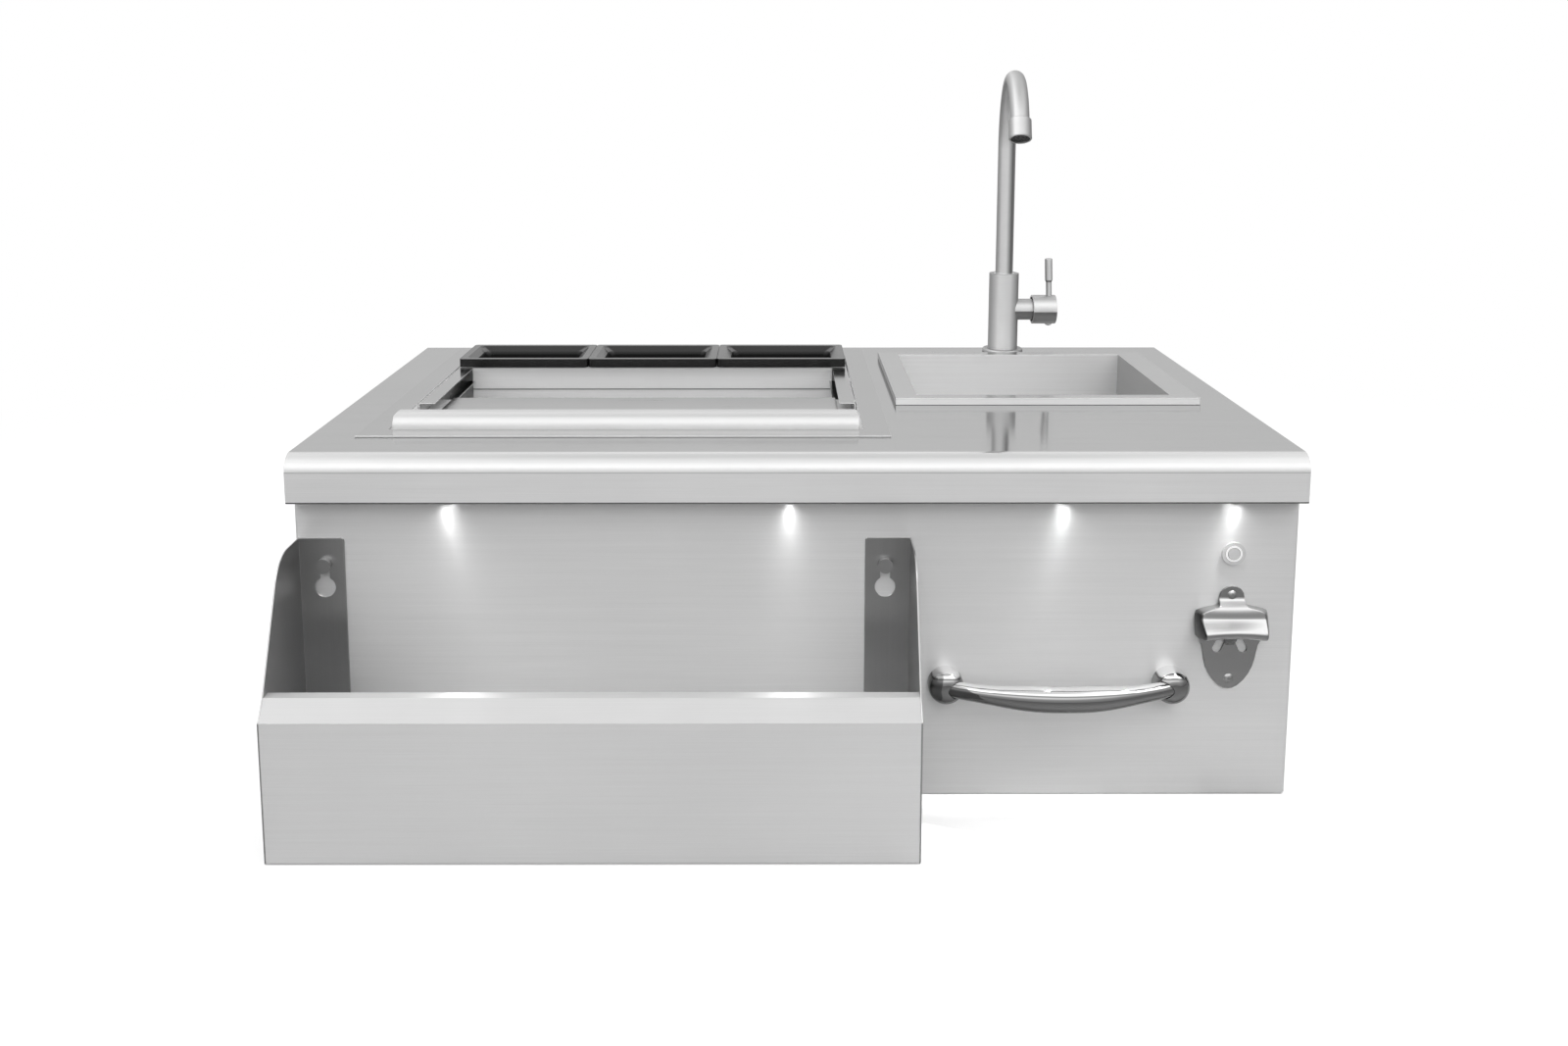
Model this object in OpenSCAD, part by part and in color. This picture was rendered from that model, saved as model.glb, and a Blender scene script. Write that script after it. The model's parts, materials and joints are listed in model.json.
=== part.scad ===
// Outdoor bar centre: a folded stainless cabinet with a drop-in ice bin, a bar sink with a
// gooseneck mixer, lamps under the front edge, a bottle opener, a towel bar and a speed rail.
// Millimetres. X to the right, Y to the back, Z up. The origin is under the middle of the
// whole unit, on the surface that it stands on. Inside place(), sizes are counted from the
// middle of the counter's front edge, at the height of the counter top.

/* [Counter] */
// Width of the counter
counter_w = 1067; // [1060:1:1200]
// Depth of the counter from front to back
counter_d = 610; // [606:1:700]
// Height of the counter top above the floor
unit_h = 385; // [375:1:450]
// Height of the folded apron
apron_h = 52; // [44:1:60]
// Radius of the rounded front edge
nose_r = 19; // [10:0.5:22]
// Thickness of the stainless sheet
sheet = 1.2; // [1:0.1:1.5]
// Inside radius of a folded corner
fold_r = 1.5; // [1:0.1:2.5]

/* [Cabinet] */
// How far the counter stands out past the sides and the back of the cabinet
side_step = 2; // [1.8:0.1:6]
// How far the counter stands out past the front panel
front_step = 20; // [17:0.5:30]
// Width of the folded returns round each panel
return_w = 20; // [14:1:26]
// Height of the base tray's rim
base_rim_h = 15; // [8:1:25]
// Width of the brace between the bin and the sink
brace_w = 25; // [16:1:26]
// Height of the brace
brace_h = 40; // [20:1:60]
// Diameter of the holes that fix the cabinet into an island
island_hole_d = 5.5; // [4:0.5:8]
// Spacing of those holes from front to back
island_span_y = 400; // [200:1:480]
// Spacing of those holes up and down
island_span_z = 200; // [100:1:240]

/* [Ice bin] */
// Distance from the counter's left edge to the bin's trim frame
bin_from_left = 51; // [45:1:55]
// Distance from the counter's front edge to the bin's trim frame
bin_from_front = 78; // [70:1:80]
// Width of the trim frame
bin_frame_w = 586; // [580:1:590]
// Depth of the trim frame from front to back
bin_frame_d = 504; // [500:1:506]
// Width of the trim frame's face
bin_flange = 28.7; // [24:0.1:32]
// Thickness of the trim frame
bin_frame_t = 2; // [1.5:0.1:3]
// Inside depth of the bin
bin_depth = 280; // [200:1:285]
// Thickness of the foam round the bin
foam_t = 22; // [12:1:25]
// Thickness of the bin's outer shell
shell_t = 1; // [0.8:0.1:1.5]
// Diameter of the bin's drain tube
bin_drain_d = 30; // [24:1:36]
// Diameter of the bin's drain flange
bin_drain_flange_d = 50; // [42:1:60]
// Diameter of the bin's drain spigot
bin_spigot_d = 19; // [12:0.5:20]
// Bore of the bin's drain spigot
bin_spigot_bore = 15; // [8:0.5:15.5]

/* [Rails and lid] */
// Gap between a rail and the bin wall
rail_stand_off = 1.2; // [0.8:0.1:2]
// Width of a rail's top flange
rail_w = 19.5; // [16:0.5:22]
// Width of the ledge at the bottom of a rail
ledge_w = 24; // [22:0.5:30]
// Depth of the ledge's upper face below the counter top
ledge_drop = 14.8; // [13:0.1:18]
// Distance from the trim's front inner edge to the front end of a rail's top flange
rail_set_back = 130; // [110:1:150]
// Diameter of a rail screw
rail_screw_d = 5; // [4:0.5:6]
// Depth of the lid plate's upper face below the counter top
lid_drop = 12; // [10.5:0.1:12.2]
// Depth of the lid from front to back
lid_d = 223; // [200:1:235]
// Gap between the lid plate and a rail's top flange
lid_side_gap = 1.2; // [0.8:0.1:2]
// Gap between the lid's handle and the trim frame
handle_gap = 4.6; // [2:0.1:8]
// Height of the handle above the counter top
handle_h = 19; // [15:0.5:25]
// Depth of the handle from front to back
handle_d = 26; // [20:0.5:32]
// Radius of the handle's rounded front
handle_r = 16; // [10:0.5:17]
// Radius of the handle's end corners
handle_corner_r = 5; // [2:0.5:8]
// How far a nylon glide reaches under the lid plate
glide_lap = 8; // [4:0.5:14]
// Length of a nylon glide along the rail
glide_l = 70; // [40:1:80]

/* [Condiment rack] */
// Distance from the trim's front inner edge to the rack
rack_set_back = 338.5; // [330:0.5:340]
// Depth of the rack from front to back
rack_d = 106.5; // [104:0.5:107]
// Height of the rack's top above the counter top
rack_top = 3.5; // [3:0.1:6]
// Height of the rack's front and back walls
rack_h = 72; // [40:1:90]
// Height of the band folded over the rack's front wall
rack_band_h = 30; // [15:1:35]
// Distance from one pan to the next
pan_pitch = 174.2; // [172:0.1:174.2]
// Gap between two pans
pan_gap = 0.6; // [0.4:0.1:2]
// Distance between the basins of two neighbouring pans
basin_gap = 36; // [34:0.5:50]
// Depth of a pan below its rim
pan_depth = 65; // [40:1:75]
// Height of a pan's rim
pan_rim_h = 11; // [8:0.5:14]
// Width of the flat part of a pan's rim
pan_rim_w = 9; // [6:0.5:10]
// Width of the slope from the rim into the pan
pan_slope_w = 8.6; // [6:0.1:9]
// Wall thickness of a pan
pan_wall = 2; // [1.5:0.1:2.5]

/* [Sink] */
// Distance from the counter's right edge to the sink's rim
sink_from_right = 45.6; // [40:0.1:60]
// Room between the ice bin's frame and the sink's rim
bowl_gap = 17.9; // [12:0.1:30]
// Distance from the counter's front edge to the sink's rim
sink_from_front = 232.7; // [200:0.1:240]
// Width of the sink bowl
sink_w = 306.5; // [280:0.5:308]
// Depth of the sink bowl from front to back
sink_d = 256; // [220:0.5:258]
// Width of the rim at the left of the bowl
sink_rim_left = 27.5; // [20:0.5:30]
// Width of the rim at the right of the bowl
sink_rim_right = 32.5; // [20:0.5:36]
// Width of the rim in front of the bowl
sink_rim_front = 18; // [14:0.5:24]
// Width of the rim behind the bowl
sink_rim_back = 20; // [14:0.5:22]
// Height of the rim above the counter
sink_rim_h = 8.7; // [5:0.1:14]
// Depth of the bowl below the counter top
sink_depth = 170; // [120:1:190]
// Diameter of the sink's drain flange
waste_flange_d = 86; // [80:1:100]
// Diameter of the sink's drain cup
waste_cup_d = 58; // [52:1:66]
// Depth of the sink's drain cup
waste_cup_h = 42; // [32:1:45]
// Outer diameter of the sink's tailpiece
tailpiece_d = 38; // [32:0.5:40]
// Length of the sink's tailpiece
tailpiece_l = 90; // [60:1:100]

/* [Mixer] */
// Distance from the counter's back edge to the mixer's axis
mixer_from_back = 29; // [29:0.5:40]
// Distance of the mixer's axis to the right of the bowl's middle
mixer_shift = 3.9; // [-20:0.1:20]
// Diameter of the mixer's base ring
base_ring_d = 57.6; // [52:0.1:58]
// Height of the mixer's base ring
base_ring_h = 5; // [3:0.5:8]
// Diameter of the mixer's body
body_d = 42; // [38:0.5:46]
// Height of the mixer's body above the counter
body_top = 114; // [100:1:130]
// Diameter of the spout tube
spout_d = 24.7; // [20:0.1:26]
// Wall of the spout tube
spout_wall = 1.5; // [1:0.1:2.5]
// Height of the spout's top above the counter
spout_top = 401; // [330:1:450]
// Radius of the spout's bend
spout_r = 96; // [80:1:110]
// Angle that the spout bends through
spout_sweep = 153; // [120:1:175]
// Angle that the spout is turned to the left
spout_turn = 4.5; // [-30:0.5:30]
// Diameter of the outlet
outlet_d = 29.5; // [27:0.1:32]
// Length of the outlet
outlet_l = 27; // [20:1:34]
// Height of the valve's axis above the counter
valve_z = 61.2; // [50:0.1:70]
// Diameter of the valve's neck
neck_d = 30.4; // [28:0.1:32]
// Length of the neck from the mixer's axis
neck_l = 40.5; // [36:0.1:46]
// Diameter of the valve's cap
cap_d = 41.3; // [40.5:0.1:44]
// Wall of the valve's cap
cap_wall = 2.8; // [2.6:0.1:3.4]
// Length of the valve's cap
cap_l = 35.3; // [32:0.1:40]
// Distance from the cap's open end to the lever
lever_from_rim = 24.5; // [20:0.1:26]
// Diameter of the lever's thin part
lever_thin_d = 8; // [6:0.1:9]
// Length of the lever's thin part
lever_thin_l = 19; // [10:0.5:24]
// Diameter of the lever's thick part
lever_thick_d = 10.5; // [9.5:0.1:13]
// Length of the lever's thick part
lever_thick_l = 34; // [20:0.5:45]
// Diameter of the threaded shank under the counter
shank_d = 28; // [26:0.5:30]
// Length of the threaded shank under the counter
shank_l = 55; // [40:1:80]
// Outer diameter of a water inlet
inlet_d = 8; // [7:0.1:9]
// Length of a water inlet below the shank
inlet_l = 30; // [20:1:60]

/* [Lamps and switch] */
// Distance of the first lamp from the counter's left edge
lamp_1 = 168; // [120:1:220]
// Distance of the second lamp from the counter's left edge
lamp_2 = 525.5; // [450:0.5:560]
// Distance of the third lamp from the counter's right edge
lamp_3 = 254.5; // [220:0.5:300]
// Distance of the fourth lamp from the counter's right edge
lamp_4 = 75.5; // [50:0.5:100]
// Diameter of a lamp's body
lamp_d = 12; // [8:0.5:13]
// Height of a lamp's body
lamp_h = 9; // [6:0.5:12]
// Distance of the switch and the opener from the counter's right edge
switch_from_right = 69.7; // [60:0.1:80]
// Depth of the switch below the counter top
switch_drop = 112; // [105:0.5:116]
// Diameter of the switch's bezel
bezel_d = 25; // [24:0.1:28]
// Diameter of the switch's threaded barrel
barrel_d = 21.8; // [20:0.1:22.5]
// Outer diameter of the lit ring
light_ring_d = 17.9; // [16:0.1:18.5]
// Diameter of the push button
button_d = 12.6; // [10:0.1:14]
// Travel of the push button
button_travel = 2; // [1:0.1:2.5]

/* [Opener] */
// Depth of the opener's top below the counter top
opener_drop = 147.5; // [142:0.5:160]
// Height of the opener
opener_h = 115; // [105:1:125]
// Width of the opener at its shoulders
opener_w = 77; // [70:0.5:84]
// Width of the opener's hood
hood_w = 62.5; // [56:0.5:66]
// How far the hood stands out
hood_reach = 24; // [18:0.5:28]
// Width of the opener's top tab
tab_w = 29; // [24:0.5:34]
// Thickness of the opener's metal
opener_t = 1.6; // [1.2:0.1:2]

/* [Towel bar] */
// Distance from the counter's right edge to the middle of the towel bar
bar_from_right = 253.4; // [240:0.1:260]
// Depth of the towel bar below the counter top
bar_drop = 256; // [240:1:280]
// Distance between the towel bar's two posts
bar_span = 241.4; // [200:0.1:250]
// Diameter of a post
post_d = 38; // [34:0.5:42]
// How far a post stands out
post_h = 25; // [22:0.5:30]
// Diameter of the bar at its ends
bar_end_d = 18; // [14:0.5:20]
// Diameter of the bar in its middle
bar_mid_d = 27; // [18:0.5:30]
// How far the bar bows out past its ends
bar_bow = 30; // [15:1:40]

/* [Speed rail] */
// Width of the speed rail
rail_length = 650.4; // [600:0.1:660]
// Distance from the counter's left edge to the speed rail
rail_from_left = 4.1; // [3.5:0.1:20]
// How far the speed rail stands out from the front panel
rail_reach = 138.8; // [120:0.1:150]
// Depth of the top of the speed rail's ends below the counter top
rail_drop = 94; // [85:1:98]
// Depth of the front lip below the counter top
lip_drop = 217; // [200:1:240]
// Height of the sloped band under the lip
band_h = 19.4; // [14:0.1:24]
// How far the sloped band leans back
band_lean = 16; // [12:0.1:20]
// Distance from the front panel to where an end's top edge and its slope would meet
end_corner = 61; // [50:0.5:70]
// Rounding of that corner
end_round = 42; // [20:0.5:46]
// Width of the return behind the lip
lip_return = 12.8; // [8:0.1:18]
// Height of the trough's upstand at the back
upstand_h = 90; // [40:1:100]
// Thickness of the speed rail's ends
end_t = 1.5; // [1.2:0.1:2]
// Width of the flanges that hang on the studs
hang_flange = 49; // [44:0.5:56]
// Distance of a stud from the end of the speed rail
stud_inset = 27.5; // [24:0.5:30]
// Depth of the studs below the counter top
stud_drop = 123.2; // [118:0.1:126]
// Distance from the keyhole's slot to the middle of its round hole
keyhole_drop = 24.8; // [22:0.1:28]
// Diameter of the keyhole's round hole
keyhole_d = 22; // [20:0.5:24]
// Width of the keyhole's slot
keyhole_slot = 10.5; // [10:0.1:12]
// Diameter of a stud's head
stud_head_d = 16; // [14:0.5:17]
// Diameter of a stud's neck
stud_neck_d = 8; // [6:0.5:9]

/* [Clearances] */
// Gap between a turning part and its bearing
run_fit = 0.05; // [0.03:0.01:0.08]
// Gap between two parts that slide, lift or hang
slide_gap = 0.3; // [0.2:0.05:0.4]
// Gap round a part that passes through a hole
hole_gap = 0.5; // [0.3:0.1:1]

/* [Hidden] */
$fn = 64;
smooth = 96;

// Cabinet
cabinet_w = counter_w - 2 * side_step;
back_y = counter_d - side_step;
spare_w = counter_w - bin_frame_w - sink_rim_left - sink_w - sink_rim_right;
spread = spare_w / (bin_from_left + bowl_gap + sink_from_right);
panel_in_y = front_step + sheet;
bend_r = fold_r + sheet / 2;

// Bin
bin_x = -counter_w / 2 + spread * bin_from_left + bin_frame_w / 2;
bin_w = bin_frame_w - 2 * bin_flange;
bin_y0 = bin_from_front + bin_flange;
bin_y1 = bin_from_front + bin_frame_d - bin_flange;
bin_mid_y = (bin_y0 + bin_y1) / 2;
foam_out = sheet + foam_t;
shell_out = foam_out + shell_t;

// Rails and lid, counted from the bin's middle
rail_out = bin_w / 2 - rail_stand_off;
rail_in = rail_out - rail_w;
rail_y0 = bin_y0 + rail_set_back;
rail_y1 = bin_y1 - slide_gap;
lid_half_w = rail_in - lid_side_gap;
lid_y0 = bin_y0 + slide_gap;
lid_y1 = lid_y0 + lid_d;
handle_half_w = bin_w / 2 - handle_gap;
plate_bottom = -lid_drop - sheet;
ledge_z = -ledge_drop - sheet / 2;
ledge_end_y = bin_y0 + rack_set_back - 2;
rail_top_z = bin_frame_t - sheet / 2;
rail_hole_d = 3 + 2 * run_fit;
rail_screw_z = bin_frame_t / 2 - 5.5;
rail_screw_ys = [rail_y0 + 30, (rail_y0 + rail_y1) / 2, rail_y1 - 30];

// Rack and pans
rack_y0 = bin_y0 + rack_set_back;
rack_y1 = rack_y0 + rack_d;
rack_half_w = 1.5 * pan_pitch;
rack_wall_half_w = rail_in - slide_gap - 0.5;
pan_w = pan_pitch - pan_gap;
pan_d = rack_d;
pan_z0 = rack_top + slide_gap;
pan_top = pan_z0 + pan_rim_h;
throat_inset = pan_rim_w + pan_slope_w;
basin_w = pan_pitch - basin_gap;
basin_d = pan_d - 2 * throat_inset;
pan_taper = 4;

// Sink
sink_x = counter_w / 2 - spread * sink_from_right - sink_rim_right - sink_w / 2;
sink_y0 = sink_from_front + sink_rim_front;
sink_mid_y = sink_y0 + sink_d / 2;
waste_lip_t = 1.5;
waste_top = -sink_depth + waste_lip_t;
waste_bottom = -sink_depth - sheet - waste_cup_h;

// Mixer
mixer_x = sink_x + mixer_shift;
mixer_y = counter_d - mixer_from_back;
bush_d = spout_d + 2 * run_fit;
bush_out_d = spout_d + 4;
bush_h = 25;
bush_z0 = body_top - bush_h;
riser_top = spout_top - spout_d / 2 - spout_r;
pivot_x = neck_l + 4.5;
cap_x0 = neck_l + slide_gap;
cavity_r = 10.4;
cartridge_r = 12;
cartridge_end = neck_l + 9;
cap_in_r = cap_d / 2 - cap_wall;
cap_floor_x = cap_x0 + cap_l - cap_wall - 1;

// Switch and opener
switch_x = counter_w / 2 - switch_from_right;

// Towel bar
bar_x = counter_w / 2 - bar_from_right;

// Speed rail, counted outwards from the front panel
rail_x0 = -counter_w / 2 + rail_from_left;
rail_x1 = rail_x0 + rail_length;
rail_base = -unit_h + 0.6;
stud_xs = [rail_x0 + stud_inset, rail_x1 - stud_inset];
lamp_xs = [
  lamp_1 - counter_w / 2,
  lamp_2 - counter_w / 2,
  counter_w / 2 - lamp_3,
  counter_w / 2 - lamp_4
];
lamp_y = (sheet + front_step) / 2;
wire_z = -30;
wire_d = 4;

// Fixings
island_z = -(unit_h + apron_h) / 2;
bar_stud_d = 6;
screw_d = 4;
screw_zs = [-opener_drop - 10, -opener_drop - opener_h + 12];

// Power socket
sink_side_x = sink_x + sink_w / 2 + sheet;
gland_share = 0.5821;
gland_x = sink_side_x + gland_share * (cabinet_w / 2 - sheet - sink_side_x);
gland_z = -apron_h - 28;
gland_d = 15;
socket_l = 18;

// Drains
drain_lip_t = 1.5;
bin_nut_h = 10;
bin_thread_end = -bin_depth - shell_out - bin_nut_h - 4;
bin_spigot_end = -unit_h + 8;
waste_wall = 2;
stub_l = 25;
stub_end = waste_bottom - stub_l;
collar_h = 24;
collar_wall = 5;
waste_nut_h = 10;
gasket_t = 3;
pipe_hole_d = 52;

// Valve
inlet_xs = [-7.5, 7.5];
cartridge_x0 = pivot_x - 20;
cavity_x0 = pivot_x - 7;
pin_d = 3.6;
ear_y0 = 4.2;
ear_y1 = 6.7;
lever_x = cap_x0 + lever_from_rim;
lever_lean = 2;
plug_d = 6;

// Outlet
aerator_d = outlet_d - 5;
aerator_set = 12;

// Lamps
lens_d = lamp_d - 4;
bezel_h = 1;
lens_t = 1.8;

// Lamp driver
driver_y = panel_in_y + 13;
driver_x0 = lamp_xs[3] - 60;
driver_x1 = switch_x + 8;
driver_z0 = gland_z - 6;
driver_z1 = gland_z + 34;

// Switch
barrel_l = 40;
bezel_t = 2;
button_l = 8;

// Towel bar
bar_root = 14;
bow_r = (pow(bar_span / 2, 2) + pow(bar_bow, 2)) / (2 * bar_bow);
bow_angle = asin(bar_span / 2 / bow_r);
bar_sides = 24;
bar_rings = 32;
socket_depth = 18;

// Opener
slot_x = 13;
slot_z = -73;
slot_d = 10;
tongue_w = 12;
tongue_z = [-80, -66, -64];
hood_foot_z = -80;

// Studs
stud_head_t = 6;

// ---- Folded sheets, drawn end-on ----

// Direction from a to b
function dir(a, b) = (b - a) / norm(b - a);
// Half of the corner angle at p
function half_angle(a, p, b) = acos(dir(p, a) * dir(p, b)) / 2;
// Distance from corner p to where a bend of radius r starts
function set_back(a, p, b, r) = r / tan(half_angle(a, p, b));
// Middle of the bend at corner p
function bend_middle(a, p, b, r) =
  p + dir([0, 0], dir(p, a) + dir(p, b)) * r / sin(half_angle(a, p, b));

// Wedge that holds the arc of a bend and nothing of its straight runs
module bend_wedge(a, p, b, r) {
  c = bend_middle(a, p, b, r);
  s = set_back(a, p, b, r);
  polygon([
    c,
    c + 2 * (p + dir(p, a) * s - c),
    c + 2 * (p - c),
    c + 2 * (p + dir(p, b) * s - c)
  ]);
}

// Straight run of a sheet of thickness t from a to b
module run(a, b, t) {
  translate(a)
    rotate(atan2(b.y - a.y, b.x - a.x))
      translate([0, -t / 2])
        square([norm(b - a), t]);
}

// Folded sheet along a middle line, with a bend of its own radius at each inner point
module fold(path, radii, t) {
  last = len(path) - 1;
  for (i = [0 : last - 1]) {
    from = i == 0 ? 0 : set_back(path[i - 1], path[i], path[i + 1], radii[i]);
    to = i == last - 1 ? 0 : set_back(path[i], path[i + 1], path[i + 2], radii[i + 1]);
    d = dir(path[i], path[i + 1]);
    run(path[i] + d * from, path[i + 1] - d * to, t);
  }
  for (i = [1 : last - 1])
    intersection() {
      translate(bend_middle(path[i - 1], path[i], path[i + 1], radii[i]))
        difference() {
          circle(radii[i] + t / 2, $fn = smooth);
          circle(radii[i] - t / 2, $fn = smooth);
        }
      bend_wedge(path[i - 1], path[i], path[i + 1], radii[i]);
    }
}

// Outline with a rounding of its own radius at each corner, 0 where it is sharp
module blank(path, radii) {
  n = len(path);
  polygon([
    for (i = [0 : n - 1])
      let (
        a = path[(i + n - 1) % n],
        p = path[i],
        b = path[(i + 1) % n],
        s = radii[i] == 0 ? 0 : set_back(a, p, b, radii[i])
      )
      each s == 0 ? [p] : [p + dir(p, a) * s, p + dir(p, b) * s]
  ]);
  for (i = [0 : n - 1])
    if (radii[i] > 0) {
      a = path[(i + n - 1) % n];
      b = path[(i + 1) % n];
      intersection() {
        translate(bend_middle(a, path[i], b, radii[i]))
          circle(radii[i], $fn = smooth);
        bend_wedge(a, path[i], b, radii[i]);
      }
    }
}

// Rectangle round the middle with rounded corners
module rounded(w, d, r) {
  blank(
    [[-w / 2, -d / 2], [w / 2, -d / 2], [w / 2, d / 2], [-w / 2, d / 2]],
    [r, r, r, r]
  );
}

// ---- Placing ----

// Moves counter sizes to the unit's own frame
module place() {
  translate([0, -(counter_d + front_step - rail_reach) / 2, unit_h])
    children();
}

// Block between two corners
module block(lo, hi) {
  translate(lo)
    cube(hi - lo);
}

// Side view (Y, Z) drawn out from x0 to x1
module along_x(x0, x1) {
  translate([x0, 0, 0])
    rotate([90, 0, 90])
      linear_extrude(x1 - x0)
        children();
}

// Front view (X, Z) drawn out from y0 to y1
module along_y(y0, y1) {
  translate([0, y1, 0])
    rotate([90, 0, 0])
      linear_extrude(y1 - y0)
        children();
}

// Plan (X, Y) drawn out from z0 to z1
module along_z(z0, z1) {
  translate([0, 0, z0])
    linear_extrude(z1 - z0)
      children();
}

// Round bar along X, Y or Z from a start point
module rod_x(at, length, d) {
  translate(at)
    rotate([0, 90, 0])
      cylinder(h = length, d = d);
}

module rod_y(at, length, d) {
  translate(at)
    rotate([-90, 0, 0])
      cylinder(h = length, d = d);
}

module rod_z(at, length, d) {
  translate(at)
    cylinder(h = length, d = d);
}

// Six-sided nut on Z with a bore
module hex_nut(at, across, h, bore) {
  translate(at)
    difference() {
      cylinder(h = h, d = across / cos(30), $fn = 6);
      translate([0, 0, -1])
        cylinder(h = h + 2, d = bore);
    }
}

// ---- Counter and cabinet ----

module countertop() {
  half = sheet / 2;
  color("silver") place() difference() {
    union() {
      along_x(-counter_w / 2 + sheet, counter_w / 2 - sheet)
        fold(
          [
            [counter_d - half, -apron_h],
            [counter_d - half, -half],
            [half, -half],
            [half, half - apron_h],
            [front_step - slide_gap, half - apron_h]
          ],
          [0, bend_r, nose_r - half, bend_r, 0],
          sheet
        );
      for (x = [-counter_w / 2, counter_w / 2 - sheet])
        along_x(x, x + sheet)
          blank(
            [[counter_d, -apron_h], [counter_d, 0], [0, 0], [0, -apron_h]],
            [0, fold_r + sheet, nose_r, fold_r + sheet]
          );
    }
    block(
      [bin_x - bin_w / 2 - sheet - hole_gap, bin_y0 - sheet - hole_gap, -5],
      [bin_x + bin_w / 2 + sheet + hole_gap, bin_y1 + sheet + hole_gap, 5]
    );
    block(
      [sink_x - sink_w / 2 - sheet - hole_gap, sink_y0 - sheet - hole_gap, -5],
      [sink_x + sink_w / 2 + sheet + hole_gap, sink_y0 + sink_d + sheet + hole_gap, 5]
    );
    rod_z([mixer_x, mixer_y, -5], 10, shank_d + 2 * hole_gap);
    for (x = lamp_xs)
      rod_z([x, lamp_y, -apron_h - 5], 10, lamp_d + 2 * run_fit);
  }
}

// Front or back wall up to the height top: a sheet with returns at its sides and its foot.
// dir_y is 1 where the returns run backwards
module wall_sheet(face_y, dir_y, top) {
  half = sheet / 2;
  mid = face_y + dir_y * half;
  end = face_y + dir_y * return_w;
  along_z(-unit_h + fold_r + sheet, top)
    fold(
      [
        [-cabinet_w / 2 + half, end],
        [-cabinet_w / 2 + half, mid],
        [cabinet_w / 2 - half, mid],
        [cabinet_w / 2 - half, end]
      ],
      [0, bend_r, bend_r, 0],
      sheet
    );
  along_x(-cabinet_w / 2 + sheet + fold_r, cabinet_w / 2 - sheet - fold_r)
    fold(
      [
        [end, -unit_h + half],
        [mid, -unit_h + half],
        [mid, -unit_h + fold_r + sheet + half]
      ],
      [0, bend_r, 0],
      sheet
    );
}

module front_panel() {
  color("gainsboro") place() difference() {
    wall_sheet(front_step, 1, -sheet);
    for (x = stud_xs)
      rod_y([x, front_step - 5, -stud_drop], 10, stud_neck_d + 2 * run_fit);
    for (side = [-1, 1])
      rod_y([bar_x + side * bar_span / 2, front_step - 5, -bar_drop], 10, bar_stud_d + 2 * run_fit);
    for (z = screw_zs)
      rod_y([switch_x, front_step - 5, z], 10, screw_d + 2 * run_fit);
    rod_y([switch_x, front_step - 5, -switch_drop], 10, barrel_d + 2 * run_fit);
    rod_y([lamp_xs[3] - 30, front_step - 5, wire_z], 10, wire_d + 2 * hole_gap);
  }
}

// Side wall, lapped inside the returns of the front and back walls
module side_sheet(side) {
  half = sheet / 2;
  face = side * (cabinet_w / 2 - sheet - half);
  y0 = front_step + sheet + fold_r;
  y1 = back_y - sheet - fold_r;
  difference() {
    union() {
      along_y(y0, y1)
        run([face, -sheet], [face, -unit_h + fold_r + sheet], sheet);
      along_y(front_step + return_w + 1, back_y - return_w - 1)
        fold(
          [
            [face, -unit_h + fold_r + sheet + half],
            [face, -unit_h + half],
            [face - side * return_w, -unit_h + half]
          ],
          [0, bend_r, 0],
          sheet
        );
    }
    for (dy = [-1, 1], dz = [-1, 1])
      rod_x(
        [
          face - 5,
          counter_d / 2 + dy * island_span_y / 2,
          island_z + dz * island_span_z / 2
        ],
        10,
        island_hole_d
      );
  }
}

module left_side_panel() {
  color("silver") place()
    side_sheet(-1);
}

module right_side_panel() {
  color("silver") place()
    side_sheet(1);
}

module back_panel() {
  color("gainsboro") place() difference() {
    wall_sheet(back_y, -1, -sheet - fold_r);
    rod_y([gland_x, back_y - 5, gland_z], 10, gland_d + 2 * run_fit);
  }
}

module base_tray() {
  x = cabinet_w / 2 - 2 * sheet - fold_r;
  y0 = front_step + sheet + fold_r;
  y1 = back_y - sheet - fold_r;
  z0 = -unit_h + sheet;
  rim = [sheet, sheet, 0];
  color("darkgray") place() difference() {
    block([-x, y0, z0], [x, y1, z0 + base_rim_h]);
    block([-x, y0, z0 + sheet] + rim, [x, y1, z0 + base_rim_h + 1] - rim);
    rod_z([bin_x, bin_mid_y, z0 - 1], 5, bin_drain_flange_d);
    rod_z([sink_x, sink_mid_y, z0 - 1], 5, waste_flange_d);
    rod_z([mixer_x, y1 - sheet - 3 - pipe_hole_d / 2, z0 - 1], 5, pipe_hole_d);
  }
}

module center_brace() {
  x = (bin_x + bin_w / 2 + shell_out + sink_x - sink_w / 2 - sheet) / 2;
  half = sheet / 2;
  color("darkgray") place()
    along_y(panel_in_y, back_y - sheet)
      fold(
        [
          [x - brace_w / 2 + half, -sheet - brace_h],
          [x - brace_w / 2 + half, -sheet - half],
          [x + brace_w / 2 - half, -sheet - half],
          [x + brace_w / 2 - half, -sheet - brace_h]
        ],
        [0, bend_r, bend_r, 0],
        sheet
      );
}

// ---- Ice bin ----

// Open tub round the bin's space, grown outwards by out, hollow from inner outwards
module bin_tub(inner, out, top) {
  difference() {
    block(
      [bin_x - bin_w / 2 - out, bin_y0 - out, -bin_depth - out],
      [bin_x + bin_w / 2 + out, bin_y1 + out, top]
    );
    block(
      [bin_x - bin_w / 2 - inner, bin_y0 - inner, -bin_depth - inner],
      [bin_x + bin_w / 2 + inner, bin_y1 + inner, top + 1]
    );
    rod_z([bin_x, bin_mid_y, -bin_depth - out - 1], out + 2, bin_drain_d + 2 * hole_gap);
  }
}

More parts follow.
